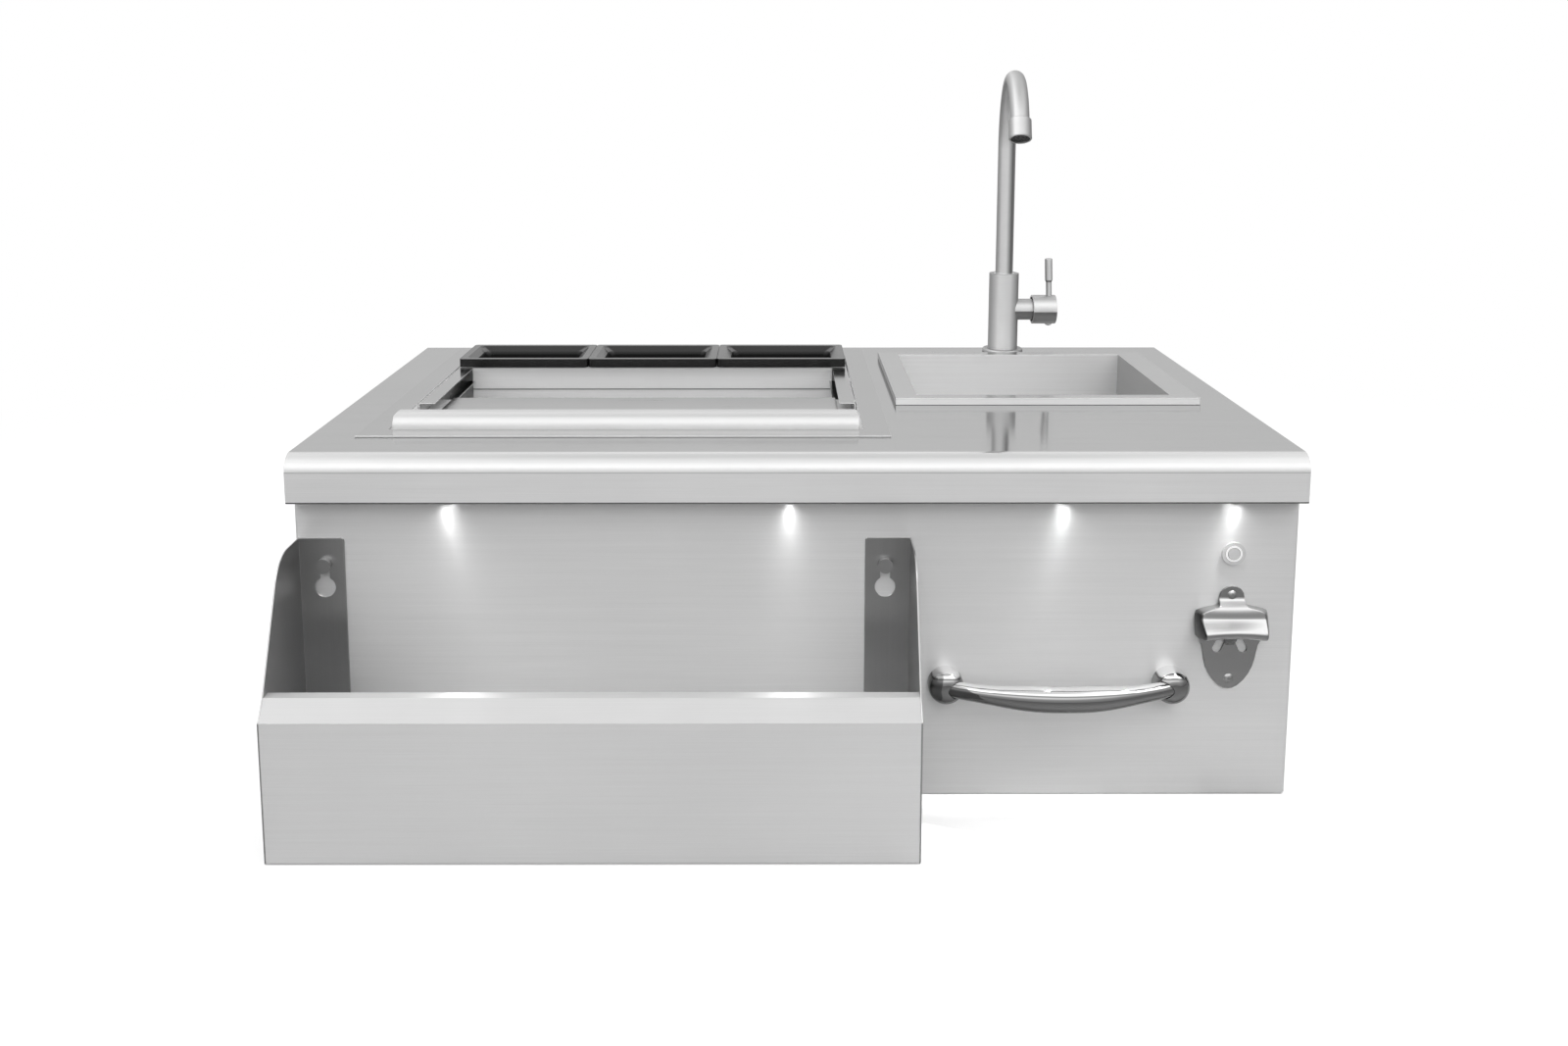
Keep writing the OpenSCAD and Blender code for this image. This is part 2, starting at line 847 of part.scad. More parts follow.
module bin_frame() {
  color("silver") place() difference() {
    block(
      [bin_x - bin_frame_w / 2, bin_from_front, 0],
      [bin_x + bin_frame_w / 2, bin_from_front + bin_frame_d, bin_frame_t]
    );
    block(
      [bin_x - bin_w / 2, bin_y0, -1],
      [bin_x + bin_w / 2, bin_y1, bin_frame_t + 1]
    );
  }
}

module bin_liner() {
  color("whitesmoke") place() difference() {
    bin_tub(0, sheet, 0);
    for (side = [-1, 1], y = rail_screw_ys)
      rod_x([bin_x + side * bin_w / 2 - 3, y, rail_screw_z], 6, rail_hole_d);
  }
}

module bin_insulation() {
  color("khaki") place()
    bin_tub(sheet, foam_out, -sheet - 1);
}

module bin_outer_shell() {
  color("darkgray") place()
    bin_tub(foam_out, shell_out, -sheet);
}

module bin_drain_body() {
  color("dimgray") place()
    translate([bin_x, bin_mid_y, 0])
      difference() {
        union() {
          rod_z([0, 0, -bin_depth], drain_lip_t, bin_drain_flange_d);
          rod_z([0, 0, bin_thread_end], -bin_depth - bin_thread_end + 1, bin_drain_d);
          rod_z([0, 0, bin_spigot_end], -bin_depth - bin_spigot_end, bin_spigot_d);
        }
        rod_z([0, 0, bin_spigot_end - 1], unit_h, bin_spigot_bore);
        rod_z([0, 0, bin_thread_end + 4], unit_h, bin_drain_d - 5);
      }
}

module bin_drain_nut() {
  color("black") place()
    hex_nut(
      [bin_x, bin_mid_y, -bin_depth - shell_out - bin_nut_h],
      bin_drain_d + 14,
      bin_nut_h,
      bin_drain_d + 2 * run_fit
    );
}

module bin_drain_strainer() {
  d = bin_drain_d - 5 - 2 * slide_gap;
  top = -bin_depth + drain_lip_t + slide_gap;
  color("silver") place()
    translate([bin_x, bin_mid_y, top])
      difference() {
        union() {
          rod_z([0, 0, 0], 1.2, bin_drain_flange_d - 6);
          rod_z([0, 0, -6], 7, d);
          rod_z([0, 0, 0], 8, 8);
        }
        rod_z([0, 0, -7], 7, d - 3);
        for (i = [0 : 5])
          rotate(60 * i)
            rod_z([8, 0, -7], 12, 2.5);
        for (i = [0 : 11])
          rotate(30 * i)
            rod_z([(bin_drain_flange_d - 6) / 2 - 5, 0, -7], 12, 2);
      }
}

// ---- Rails and lid ----

// Rail at the right of the bin's middle when side is 1, at the left when it is -1. Its ledge
// carries the lid and ends at the rack
module rail(side) {
  leg = rail_out - sheet / 2;
  flip = side == 1 ? 0 : 1;
  translate([bin_x, 0, 0])
    mirror([flip, 0, 0])
      difference() {
        union() {
          along_y(ledge_end_y, rail_y1)
            fold(
              [[leg, rail_screw_z - 5], [leg, rail_top_z], [rail_in, rail_top_z]],
              [0, bend_r, 0],
              sheet
            );
          along_y(rail_y0, ledge_end_y)
            fold(
              [
                [rail_out - ledge_w, ledge_z],
                [leg, ledge_z],
                [leg, rail_top_z],
                [rail_in, rail_top_z]
              ],
              [0, bend_r, bend_r, 0],
              sheet
            );
          along_y(lid_y0, rail_y0)
            fold(
              [
                [rail_out - ledge_w, ledge_z],
                [leg, ledge_z],
                [leg, -lid_drop]
              ],
              [0, bend_r, 0],
              sheet
            );
        }
        for (y = rail_screw_ys)
          rod_x([rail_out - 5, y, rail_screw_z], 10, rail_hole_d);
      }
}

module left_rail() {
  color("silver") place()
    rail(-1);
}

module right_rail() {
  color("silver") place()
    rail(1);
}

// Each screw holds a rail to the bin wall, with a spacer in the gap between them
module rail_screws() {
  shank = 3;
  color("gray") place()
    for (side = [-1, 1], y = rail_screw_ys)
      translate([bin_x, y, rail_screw_z])
        mirror([side == 1 ? 0 : 1, 0, 0]) {
          difference() {
            rod_x([rail_out, 0, 0], rail_stand_off, rail_screw_d + 2);
            rod_x([rail_out - 1, 0, 0], rail_stand_off + 2, rail_hole_d);
          }
          rod_x([rail_out - sheet - 1.5, 0, 0], 1.5, rail_screw_d);
          rod_x([rail_out - sheet - 1, 0, 0], 1 + 2 * sheet + rail_stand_off, shank);
        }
}

// Flat plate with its rear edge turned down between the ledges
module lid_plate() {
  z = -lid_drop - sheet / 2;
  lip_y = lid_y1 - sheet / 2;
  lip_half_w = rail_out - ledge_w - slide_gap;
  color("gray") place() {
    along_x(bin_x - lid_half_w, bin_x + lid_half_w)
      run([lid_y0, z], [lip_y - bend_r, z], sheet);
    along_x(bin_x - lip_half_w, bin_x + lip_half_w)
      fold([[lid_y1 - lid_d / 2, z], [lip_y, z], [lip_y, z - 5]], [0, bend_r, 0], sheet);
  }
}

// Folded grip with a rounded front, open below, between two solid end caps
module lid_handle() {
  half = sheet / 2;
  y1 = lid_y0 + handle_d;
  cap_t = handle_corner_r + 1;
  r = handle_corner_r;
  color("silver") place()
    translate([bin_x, 0, 0])
      difference() {
        union() {
          along_x(1 - handle_half_w, handle_half_w - 1)
            fold(
              [
                [lid_y0 + half, -lid_drop],
                [lid_y0 + half, handle_h - half],
                [y1 - half, handle_h - half],
                [y1 - half, -lid_drop]
              ],
              [0, handle_r - half, bend_r, 0],
              sheet
            );
          for (x = [-handle_half_w, handle_half_w - cap_t])
            along_x(x, x + cap_t)
              blank(
                [[lid_y0, -lid_drop], [lid_y0, handle_h], [y1, handle_h], [y1, -lid_drop]],
                [0, handle_r, fold_r + sheet, 0]
              );
        }
        for (side = [0, 1])
          mirror([side, 0, 0])
            translate([handle_half_w - r, lid_y0 - 1, handle_h - r])
              difference() {
                cube([r + 1, handle_d + 2, r + 1]);
                rod_y([0, -1, 0], handle_d + 4, 2 * r);
              }
      }
}

// A strip under each rear edge of the plate and a foot under each end of the handle
module lid_glides() {
  low = -ledge_drop + slide_gap;
  color("white") place()
    for (side = [-1, 1])
      translate([bin_x, 0, 0])
        mirror([side == 1 ? 0 : 1, 0, 0]) {
          block(
            [lid_half_w - glide_lap, lid_y1 - 8 - glide_l, low],
            [rail_out - sheet - fold_r, lid_y1 - 8, plate_bottom]
          );
          block(
            [lid_half_w, lid_y0, low],
            [handle_half_w, lid_y0 + handle_d, -lid_drop]
          );
        }
}

// ---- Condiment rack and pans ----

// Folded channel with a side flange over each rail, and a band welded over its front wall
module condiment_rack() {
  half = sheet / 2;
  color("silver") place()
    translate([bin_x, 0, 0])
      difference() {
        union() {
          along_x(-rack_wall_half_w, rack_wall_half_w)
            fold(
              [
                [rack_y0 + half, rack_top - rack_h],
                [rack_y0 + half, rack_top - half],
                [rack_y1 - half, rack_top - half],
                [rack_y1 - half, rack_top - rack_h]
              ],
              [0, bend_r, bend_r, 0],
              sheet
            );
          block(
            [-rack_wall_half_w, rack_y0 - 1, rack_top - rack_band_h],
            [rack_wall_half_w, rack_y0, rack_top - fold_r - sheet]
          );
          block(
            [-rack_half_w, rack_y0 + fold_r + sheet, rack_top - sheet],
            [rack_half_w, rack_y1 - fold_r - sheet, rack_top]
          );
        }
        for (i = [-1 : 1])
          translate([pan_pitch * i, rack_y0 + rack_d / 2, rack_top - 5])
            linear_extrude(10)
              rounded(basin_w, basin_d + 6, 8);
      }
}

// Slab with rounded corners at height z, for tapering a pan between two heights
module pan_slab(w, d, r, z) {
  translate([0, 0, z])
    linear_extrude(0.01)
      rounded(w, d, r);
}

// Pan with a flat rim, a slope into the basin and tapered walls, i places to the right of
// the middle one
module pan(i) {
  throat_w = pan_w - 2 * throat_inset;
  wall = 2 * pan_wall;
  low = pan_top - pan_depth;
  slope_h = pan_slope_w * 0.7;
  color("#1c1c1e") place()
    translate([bin_x + pan_pitch * i, rack_y0 + rack_d / 2, 0])
      difference() {
        union() {
          translate([0, 0, pan_z0])
            linear_extrude(pan_rim_h)
              rounded(pan_w, pan_d, 5);
          hull() {
            pan_slab(basin_w - 1, basin_d, 8, pan_z0 + 1);
            pan_slab(basin_w - 1 - pan_taper, basin_d - pan_taper, 10, low);
          }
        }
        hull() {
          pan_slab(throat_w + 2 * pan_slope_w, pan_d - 2 * pan_rim_w, 6, pan_top);
          pan_slab(throat_w, basin_d, 8, pan_top - slope_h);
        }
        hull() {
          pan_slab(throat_w, basin_d, 8, pan_top - slope_h);
          pan_slab(basin_w - 1 - wall, basin_d - wall, 8, pan_z0 - 1);
        }
        hull() {
          pan_slab(basin_w - 1 - wall, basin_d - wall, 8, pan_z0 - 1);
          pan_slab(
            basin_w - 1 - wall - pan_taper,
            basin_d - wall - pan_taper,
            10,
            low + pan_wall
          );
        }
        translate([0, 0, pan_top])
          linear_extrude(1)
            rounded(throat_w + 2 * pan_slope_w, pan_d - 2 * pan_rim_w, 6);
      }
}

module condiment_pan_1() {
  pan(-1);
}

module condiment_pan_2() {
  pan(0);
}

module condiment_pan_3() {
  pan(1);
}

// ---- Sink ----

module sink_bowl() {
  x0 = sink_x - sink_w / 2;
  x1 = sink_x + sink_w / 2;
  y1 = sink_y0 + sink_d;
  rim_lo = [x0 - sink_rim_left, sink_from_front, 0];
  rim_hi = [x1 + sink_rim_right, y1 + sink_rim_back, sink_rim_h];
  color("whitesmoke") place() difference() {
    union() {
      difference() {
        block(rim_lo, rim_hi);
        block(rim_lo + [sheet, sheet, -1], rim_hi - [sheet, sheet, sheet]);
      }
      block([x0 - sheet, sink_y0 - sheet, -sink_depth - sheet], [x1 + sheet, y1 + sheet, 1]);
      block([x0 - sheet, sink_y0 - sheet, 0], [x1 + sheet, y1 + sheet, sink_rim_h]);
    }
    block([x0, sink_y0, -sink_depth], [x1, y1, sink_rim_h + 1]);
    rod_z([sink_x, sink_mid_y, -sink_depth - 5], 10, waste_cup_d + 2 * hole_gap);
  }
}

// Flange, cup and outlet stub in one turned piece
module waste_body() {
  color("silver") place()
    translate([sink_x, sink_mid_y, 0])
      difference() {
        union() {
          rod_z([0, 0, -sink_depth], waste_lip_t, waste_flange_d);
          rod_z([0, 0, waste_bottom], -sink_depth - waste_bottom + 1, waste_cup_d);
          rod_z([0, 0, stub_end], stub_l + 1, tailpiece_d);
        }
        rod_z([0, 0, waste_bottom + waste_wall], 2 * waste_cup_h, waste_cup_d - 2 * waste_wall);
        rod_z([0, 0, stub_end - 1], stub_l + 2 * waste_wall, tailpiece_d - 2 * waste_wall);
      }
}

module waste_gasket() {
  z = -sink_depth - sheet - gasket_t;
  color("black") place()
    translate([sink_x, sink_mid_y, z])
      difference() {
        cylinder(h = gasket_t, d = waste_flange_d - 4);
        translate([0, 0, -1])
          cylinder(h = gasket_t + 2, d = waste_cup_d + 2 * run_fit);
      }
}

module waste_nut() {
  z = -sink_depth - sheet - gasket_t - waste_nut_h;
  d = waste_cup_d + 18;
  color("dimgray") place()
    translate([sink_x, sink_mid_y, z])
      difference() {
        cylinder(h = waste_nut_h, d = d);
        translate([0, 0, -1])
          cylinder(h = waste_nut_h + 2, d = waste_cup_d + 2 * run_fit);
        for (i = [0 : 7])
          rotate(45 * i)
            rod_z([d / 2 + 2, 0, -1], waste_nut_h + 2, 9);
      }
}

// Perforated cup with a knob, lifted out by hand
module waste_basket() {
  cup_d = waste_cup_d - 2 * waste_wall - 3;
  cup_h = 30;
  z = waste_top + slide_gap;
  color("silver") place()
    translate([sink_x, sink_mid_y, z])
      difference() {
        union() {
          rod_z([0, 0, 0], 1.2, waste_cup_d + 10);
          rod_z([0, 0, -cup_h], cup_h + 0.5, cup_d);
        }
        difference() {
          rod_z([0, 0, -cup_h + 1.2], cup_h + 5, cup_d - 2.4);
          rod_z([0, 0, -cup_h], cup_h - 4, 8);
          rod_z([0, 0, -6], 6, 14);
        }
        for (ring = [[12, 6, 0], [19, 12, 15]], i = [0 : ring[1] - 1])
          rotate(360 / ring[1] * i + ring[2])
            rod_z([ring[0], 0, -cup_h - 1], 4, 4);
      }
}

// Coupling collar round the stub, and the tube below it
module waste_tailpiece() {
  color("silver") place()
    translate([sink_x, sink_mid_y, stub_end])
      difference() {
        union() {
          rod_z([0, 0, -collar_h / 4], collar_h, tailpiece_d + 2 * collar_wall);
          rod_z([0, 0, -tailpiece_l], tailpiece_l, tailpiece_d);
        }
        rod_z([0, 0, -tailpiece_l - 1], 2 * tailpiece_l, tailpiece_d - 2 * waste_wall);
        rod_z([0, 0, 0], collar_h, tailpiece_d + 2 * run_fit);
      }
}

// ---- Mixer ----

// Moves to the mixer's axis
module at_mixer() {
  place()
    translate([mixer_x, mixer_y, 0])
      children();
}

module mixer_base_ring() {
  r = base_ring_d / 2;
  bore = shank_d / 2 + run_fit;
  color("silver") at_mixer()
    rotate_extrude()
      blank([[bore, 0], [r, 0], [r, base_ring_h], [bore, base_ring_h]], [0, 0, 2.5, 0]);
}

// Turned body with the valve's neck, the threaded shank and the water inlets
module mixer_body() {
  color("silver") at_mixer() difference() {
    union() {
      rod_z([0, 0, base_ring_h], body_top - base_ring_h, body_d);
      rod_z([0, 0, -shank_l], shank_l + base_ring_h + 1, shank_d);
      rod_x([0, 0, valve_z], neck_l, neck_d);
      for (x = inlet_xs)
        rod_z([x, 0, -shank_l - inlet_l], inlet_l + 1, inlet_d);
    }
    rod_z([0, 0, bush_z0], bush_h + 1, bush_out_d + 2 * run_fit);
    rod_z([0, 0, valve_z], bush_z0 - valve_z + 1, spout_d - 6);
    rod_x([0, 0, valve_z], neck_l, 12);
    rod_x([cartridge_x0, 0, valve_z], neck_l, 2 * (cartridge_r + run_fit));
    for (x = inlet_xs)
      rod_z([x, 0, -shank_l - inlet_l - 1], shank_l + inlet_l + valve_z - 4, inlet_d - 3);
  }
}

module mixer_bush() {
  color("white") at_mixer() difference() {
    rod_z([0, 0, bush_z0], bush_h, bush_out_d);
    rod_z([0, 0, bush_z0 - 1], bush_h + 2, bush_d);
  }
}

// Solid of the spout's course with the given diameter
module spout_course(d, z0) {
  rod_z([0, 0, z0], riser_top - z0, d);
  translate([0, -spout_r, riser_top])
    rotate([90, 0, 90])
      rotate_extrude(angle = spout_sweep, $fn = smooth)
        translate([spout_r, 0])
          circle(d = d, $fn = 48);
}

module mixer_spout() {
  z0 = bush_z0 + slide_gap;
  color("silver") at_mixer()
    rotate(-spout_turn)
      difference() {
        spout_course(spout_d, z0);
        spout_course(spout_d - 2 * spout_wall, z0 - 1);
        at_outlet()
          cylinder(h = 1, d = spout_d + 2);
      }
}

// Moves to the end of the spout, with +Z the way the water runs
module at_outlet() {
  translate([
    0,
    spout_r * (cos(spout_sweep) - 1),
    riser_top + spout_r * sin(spout_sweep)
  ])
    rotate([spout_sweep, 0, 0])
      children();
}

module mixer_outlet() {
  r = outlet_d / 2;
  color("silver") at_mixer()
    rotate(-spout_turn)
      at_outlet()
        difference() {
          rotate_extrude()
            blank([[0, 0], [r, 0], [r, outlet_l], [0, outlet_l]], [0, 1.2, 1.2, 0]);
          rod_z([0, 0, -1], outlet_l, spout_d - 2 * spout_wall);
          rod_z([0, 0, outlet_l - aerator_set], 20, aerator_d + 2 * run_fit);
        }
}

module aerator() {
  color("#26262a") at_mixer()
    rotate(-spout_turn)
      at_outlet()
        translate([0, 0, outlet_l - aerator_set])
          difference() {
            cylinder(h = 10, d = aerator_d);
            rod_z([0, 0, -1], 8, aerator_d - 5);
            for (ring = [[4, 6], [8, 12]], i = [0 : ring[1] - 1])
              rotate(360 / ring[1] * i)
                rod_z([ring[0], 0, -1], 20, 2);
          }
}

// Housing that holds the trunnion, pressed into the neck
module valve_cartridge() {
  color("dimgray") at_mixer() difference() {
    rod_x([cartridge_x0, 0, valve_z], cartridge_end - cartridge_x0, 2 * cartridge_r);
    rod_x([cavity_x0, 0, valve_z], 40, 2 * cavity_r);
    rod_x([cartridge_x0 - 1, 0, valve_z], 40, 8);
  }
}

// Turns in the cartridge to mix the water; the lever tilts on its cross pin
module valve_trunnion() {
  x0 = cavity_x0 + slide_gap;
  disc_t = 2.7;
  color("gray") at_mixer()
    translate([0, 0, valve_z]) {
      rod_x([x0, 0, 0], disc_t, 2 * (cavity_r - slide_gap));
      for (side = [-1, 1])
        block(
          [x0, side == 1 ? ear_y0 : -ear_y1, -3.5],
          [pivot_x + 3, side == 1 ? ear_y1 : -ear_y0, 3.5]
        );
      rod_y([pivot_x, -ear_y0 - 1, 0], 2 * ear_y0 + 2, pin_d);
    }
}

// Rod from the cross pin to the inside of the cap
module valve_stem() {
  eye_w = 2 * (ear_y0 - slide_gap);
  eye_d = 7;
  color("gray") at_mixer()
    translate([0, 0, valve_z])
      difference() {
        union() {
          rod_y([pivot_x, -eye_w / 2, 0], eye_w, eye_d);
          rod_x([pivot_x + 2, 0, 0], cap_floor_x - pivot_x - 2, 5);
        }
        rod_y([pivot_x, -10, 0], 20, pin_d + 2 * run_fit);
      }
}

// Hollow cap with a slightly domed end
module valve_cap() {
  dome_r = 110;
  color("silver") at_mixer()
    translate([0, 0, valve_z])
      difference() {
        translate([cap_x0, 0, 0])
          rotate([0, 90, 0])
            rotate_extrude($fn = smooth)
              intersection() {
                blank(
                  [[0, 0], [cap_d / 2, 0], [cap_d / 2, cap_l], [0, cap_l]],
                  [0, 0.6, 3, 0]
                );
                translate([0, cap_l - dome_r])
                  circle(dome_r, $fn = 4 * smooth);
              }
        rod_x([cap_x0 - 1, 0, 0], cap_floor_x - cap_x0 + 1, 2 * cap_in_r);
        on_cap()
          rod_z([0, 0, cap_in_r - 2], 10, lever_thin_d + 2 * run_fit);
        rod_z([lever_x, 0, -cap_d], cap_d / 2 + 5, plug_d + 2 * run_fit);
      }
}

// Moves to the lever's foot on the cap
module on_cap() {
  translate([lever_x, 0, cap_d / 2])
    rotate([0, -lever_lean, 0])
      translate([0, 0, -cap_d / 2])
        children();
}

module valve_lever() {
  foot = cap_in_r;
  neck_top = cap_d / 2 + lever_thin_l;
  top = neck_top + lever_thick_l;
  thin = lever_thin_d / 2;
  thick = lever_thick_d / 2;
  color("silver") at_mixer()
    translate([0, 0, valve_z])
      on_cap()
        rotate_extrude()
          blank(
            [
              [0, foot],
              [thin, foot],
              [thin, neck_top],
              [thick, neck_top + 3],
              [thick, top],
              [0, top]
            ],
            [0, 0, 0, 0, 1, 0]
          );
}

// Domed plug that covers the screw under the cap
module cap_plug() {
  head_d = 11;
  head_h = 3;
  ball_r = (pow(head_d / 2, 2) + pow(head_h, 2)) / (2 * head_h);
  color("silver") at_mixer()
    translate([0, 0, valve_z]) {
      difference() {
        intersection() {
          translate([lever_x, 0, -cap_d / 2 - head_h + ball_r])
            sphere(ball_r, $fn = 48);
          rod_z([lever_x, 0, -cap_d], cap_d - 1, head_d - 1);
        }
        rod_x([0, 0, 0], 2 * cap_l + neck_l, cap_d);
      }
      rod_z([lever_x, 0, -cap_d / 2 - 0.5], cap_wall + 0.4, plug_d);
    }
}

// Washer and nut under the counter
module mixer_fixings() {
  washer_t = 2;
  color("dimgray") at_mixer() {
    difference() {
      rod_z([0, 0, -sheet - washer_t], washer_t, shank_d + 16);
      rod_z([0, 0, -sheet - washer_t - 1], washer_t + 2, shank_d + 2 * run_fit);
    }
    hex_nut([0, 0, -sheet - washer_t - 8], shank_d + 8, 8, shank_d + 2 * run_fit);
  }
}

// ---- Lamps ----

module lamp_housings() {
  color("silver") place()
    for (x = lamp_xs)
      translate([x, lamp_y, -apron_h])
        difference() {
          union() {
            cylinder(h = lamp_h, d = lamp_d);
            rod_z([0, 0, -bezel_h], bezel_h, lamp_d + 3);
          }
          rod_z([0, 0, -bezel_h - 1], lens_t + 1 + 0.2 * bezel_h, lens_d + 2 * run_fit);
        }
}

module lamp_lenses() {
  color("white") place()
    for (x = lamp_xs)
      rod_z([x, lamp_y, -apron_h - 0.8 * bezel_h], lens_t, lens_d);
}

// Box that feeds the lamps, fixed to the back of the front panel
module lamp_driver() {
  color("black") place() difference() {
    block([driver_x0, panel_in_y, driver_z0], [driver_x1, driver_y + 13, driver_z1]);
    rod_y([switch_x, driver_y - 1, gland_z], 20, wire_d + 2 * run_fit);
  }
}

// Round lead through the given points, each reached along one axis
module lead(points) {
  for (i = [1 : len(points) - 1]) {
    a = points[i - 1];
    b = points[i];
    low = [min(a.x, b.x), min(a.y, b.y), min(a.z, b.z)];
    if (a.x != b.x)
      rod_x(low, abs(b.x - a.x), wire_d);
    if (a.y != b.y)
      rod_y(low, abs(b.y - a.y), wire_d);
    if (a.z != b.z)
      rod_z(low, abs(b.z - a.z), wire_d);
    if (i > 1)
      translate(a)
        sphere(d = wire_d);
  }
}

// Loom along the lamps, its leg to the driver, the switch's lead and the lead to the socket
module lamp_wiring() {
  leg_x = lamp_xs[3] - 30;
  top = -apron_h + lamp_h;
  switch_y = front_step + barrel_l;
  color("black") place() {
    lead([
      [lamp_xs[0], lamp_y, top],
      [lamp_xs[0], lamp_y, wire_z],
      [lamp_xs[3], lamp_y, wire_z],
      [lamp_xs[3], lamp_y, top]
    ]);
    for (x = [lamp_xs[1], lamp_xs[2]])
      lead([[x, lamp_y, wire_z], [x, lamp_y, top]]);
    lead([
      [leg_x, lamp_y, wire_z],
      [leg_x, driver_y, wire_z],
      [leg_x, driver_y, driver_z1]
    ]);
    lead([
      [switch_x, driver_y, gland_z],
      [switch_x, switch_y + 10, gland_z],
      [switch_x, switch_y + 10, -switch_drop],
      [switch_x, switch_y, -switch_drop]
    ]);
    lead([
      [driver_x1, driver_y, gland_z],
      [gland_x, driver_y, gland_z],
      [gland_x, back_y - sheet - socket_l, gland_z]
    ]);
  }
}

// Low-voltage socket in the back panel
module power_gland() {
  flange_t = 1.6;
  color("black") place() difference() {
    union() {
      rod_y([gland_x, back_y - sheet - socket_l, gland_z], socket_l + sheet, gland_d);
      rod_y([gland_x, back_y, gland_z], flange_t, gland_d + 6);
    }
    rod_y([gland_x, back_y + flange_t - 12, gland_z], 20, 5.5);
  }
}

// ---- Switch ----

// Moves to the middle of the switch on the front panel, with +Z into the cabinet
module at_switch() {
  place()
    translate([switch_x, front_step, -switch_drop])
      rotate([-90, 0, 0])
        children();
}

module switch_body() {
  color("silver") at_switch() difference() {
    union() {
      rod_z([0, 0, -bezel_t], bezel_t, bezel_d);
      rod_z([0, 0, 0], barrel_l, barrel_d);
    }
    rod_z([0, 0, -bezel_t - 1], bezel_t + 3, light_ring_d + 2 * run_fit);
    rod_z(
      [0, 0, 0],
      button_l + button_travel,
      button_d + 2 * slide_gap
    );
  }
}

module switch_ring() {
  color("white") at_switch() difference() {
    rod_z([0, 0, -bezel_t - 0.2], bezel_t + 2.2, light_ring_d);
    rod_z([0, 0, -bezel_t - 1], bezel_t + 4, button_d + 2 * slide_gap);
  }
}

module switch_button() {
  color("silver") at_switch()
    rod_z([0, 0, -bezel_t - 0.5], button_l + bezel_t, button_d);
}

module switch_nut() {
  color("silver") at_switch()
    hex_nut([0, 0, sheet], barrel_d + 6, 4, barrel_d + 2 * run_fit);
}

// ---- Bottle opener ----

// Moves to the top middle of the opener on the front panel
module at_opener() {
  place()
    translate([switch_x, front_step, -opener_drop])
      children();
}

// Plan of the hood, wide at the panel and narrower at its nose, drawn in by inset
module hood_plan(inset) {
  foot = opener_w / 2 - 1.5 - inset;
  nose = hood_w / 2 - inset;
  draft = (foot - nose) / hood_reach;
  along_z(hood_foot_z, 0)
    polygon([
      [-foot - draft, 1],
      [foot + draft, 1],
      [nose - draft, -hood_reach - 1],
      [draft - nose, -hood_reach - 1]
    ]);
}

// Hood of sheet metal between two cheeks: a slope, an upright face and a lip that turns in
module opener_hood() {
  t = opener_t;
  root = [0, -20];
  brow = [-hood_reach, -40];
  chin = [-hood_reach, -57];
  lip = [5 - hood_reach, -61];
  half = opener_w / 2;
  intersection() {
    union() {
      along_x(-half, half)
        polygon([
          root,
          brow,
          chin,
          lip,
          lip + [0, 1.3 * t],
          bend_middle(brow, chin, lip, t),
          bend_middle(root, brow, chin, t),
          root - [0, 1.3 * t]
        ]);
      difference() {
        along_x(-half, half)
          polygon([root, brow, chin, lip, [0, lip.y]]);
        hood_plan(t);
      }
    }
    hood_plan(0);
    along_y(-hood_reach - 1, 1)
      polygon([
        [-tab_w / 2, -18],
        [tab_w / 2, -18],
        [half, -28],
        [half, -70],
        [-half, -70],
        [-half, -28]
      ]);
  }
}

// Outline of the plate: a round-topped tab over a shield
module opener_outline() {
  shoulder_r = 8;
  tip_r = 14;
  hull()
    for (side = [-1, 1]) {
      translate([side * (tab_w / 2 - 13), -13])
        circle(13);
      translate([side * (tab_w / 2 - 1), -35])
        circle(1);
    }
  hull() {
    for (side = [-1, 1]) {
      translate([side * (opener_w / 2 - shoulder_r), -36])
        circle(shoulder_r);
      translate([side * (opener_w / 2 - shoulder_r - 2), -56])
        circle(shoulder_r + 2);
      translate([side * opener_w / 5, 25 - opener_h])
        circle(tip_r);
    }
    translate([0, tip_r - opener_h])
      circle(tip_r);
  }
}

module opener_plate() {
  color("silver") at_opener() difference() {
    union() {
      along_y(-opener_t, 0)
        opener_outline();
      opener_hood();
      along_x(-tongue_w / 2, tongue_w / 2)
        polygon([
          [-opener_t, tongue_z[0]],
          [-opener_t, tongue_z[1]],
          [-7, tongue_z[2]],
          [-7, tongue_z[1]]
        ]);
    }
    for (x = [-slot_x, slot_x]) {
      rod_y([x, -opener_t - 1, slot_z], opener_t + 2, slot_d);
      block([x - slot_d / 2, -opener_t - 1, slot_z], [x + slot_d / 2, 1, slot_z + 9]);
    }
    for (z = screw_zs)
      rod_y([0, -opener_t - 1, z + opener_drop], opener_t + 2, screw_d + 2 * run_fit);
  }
}

module opener_screws() {
  head_d = 10;
  head_h = 2.4;
  ball_r = (pow(head_d / 2, 2) + pow(head_h, 2)) / (2 * head_h);
  color("silver") at_opener()
    for (z = screw_zs)
      translate([0, -opener_t, z + opener_drop]) {
        difference() {
          intersection() {
            translate([0, ball_r - head_h, 0])
              sphere(ball_r, $fn = 48);
            rod_y([0, -head_h - 1, 0], head_h + 1, head_d);
          }
          for (turn = [0, 90])
            rotate([0, turn, 0])
              block([-2.6, -head_h - 1, -0.5], [2.6, -head_h + 1.2, 0.5]);
        }
        rod_y([0, -0.5, 0], opener_t + sheet + 5, screw_d);
      }
}

// ---- Towel bar ----

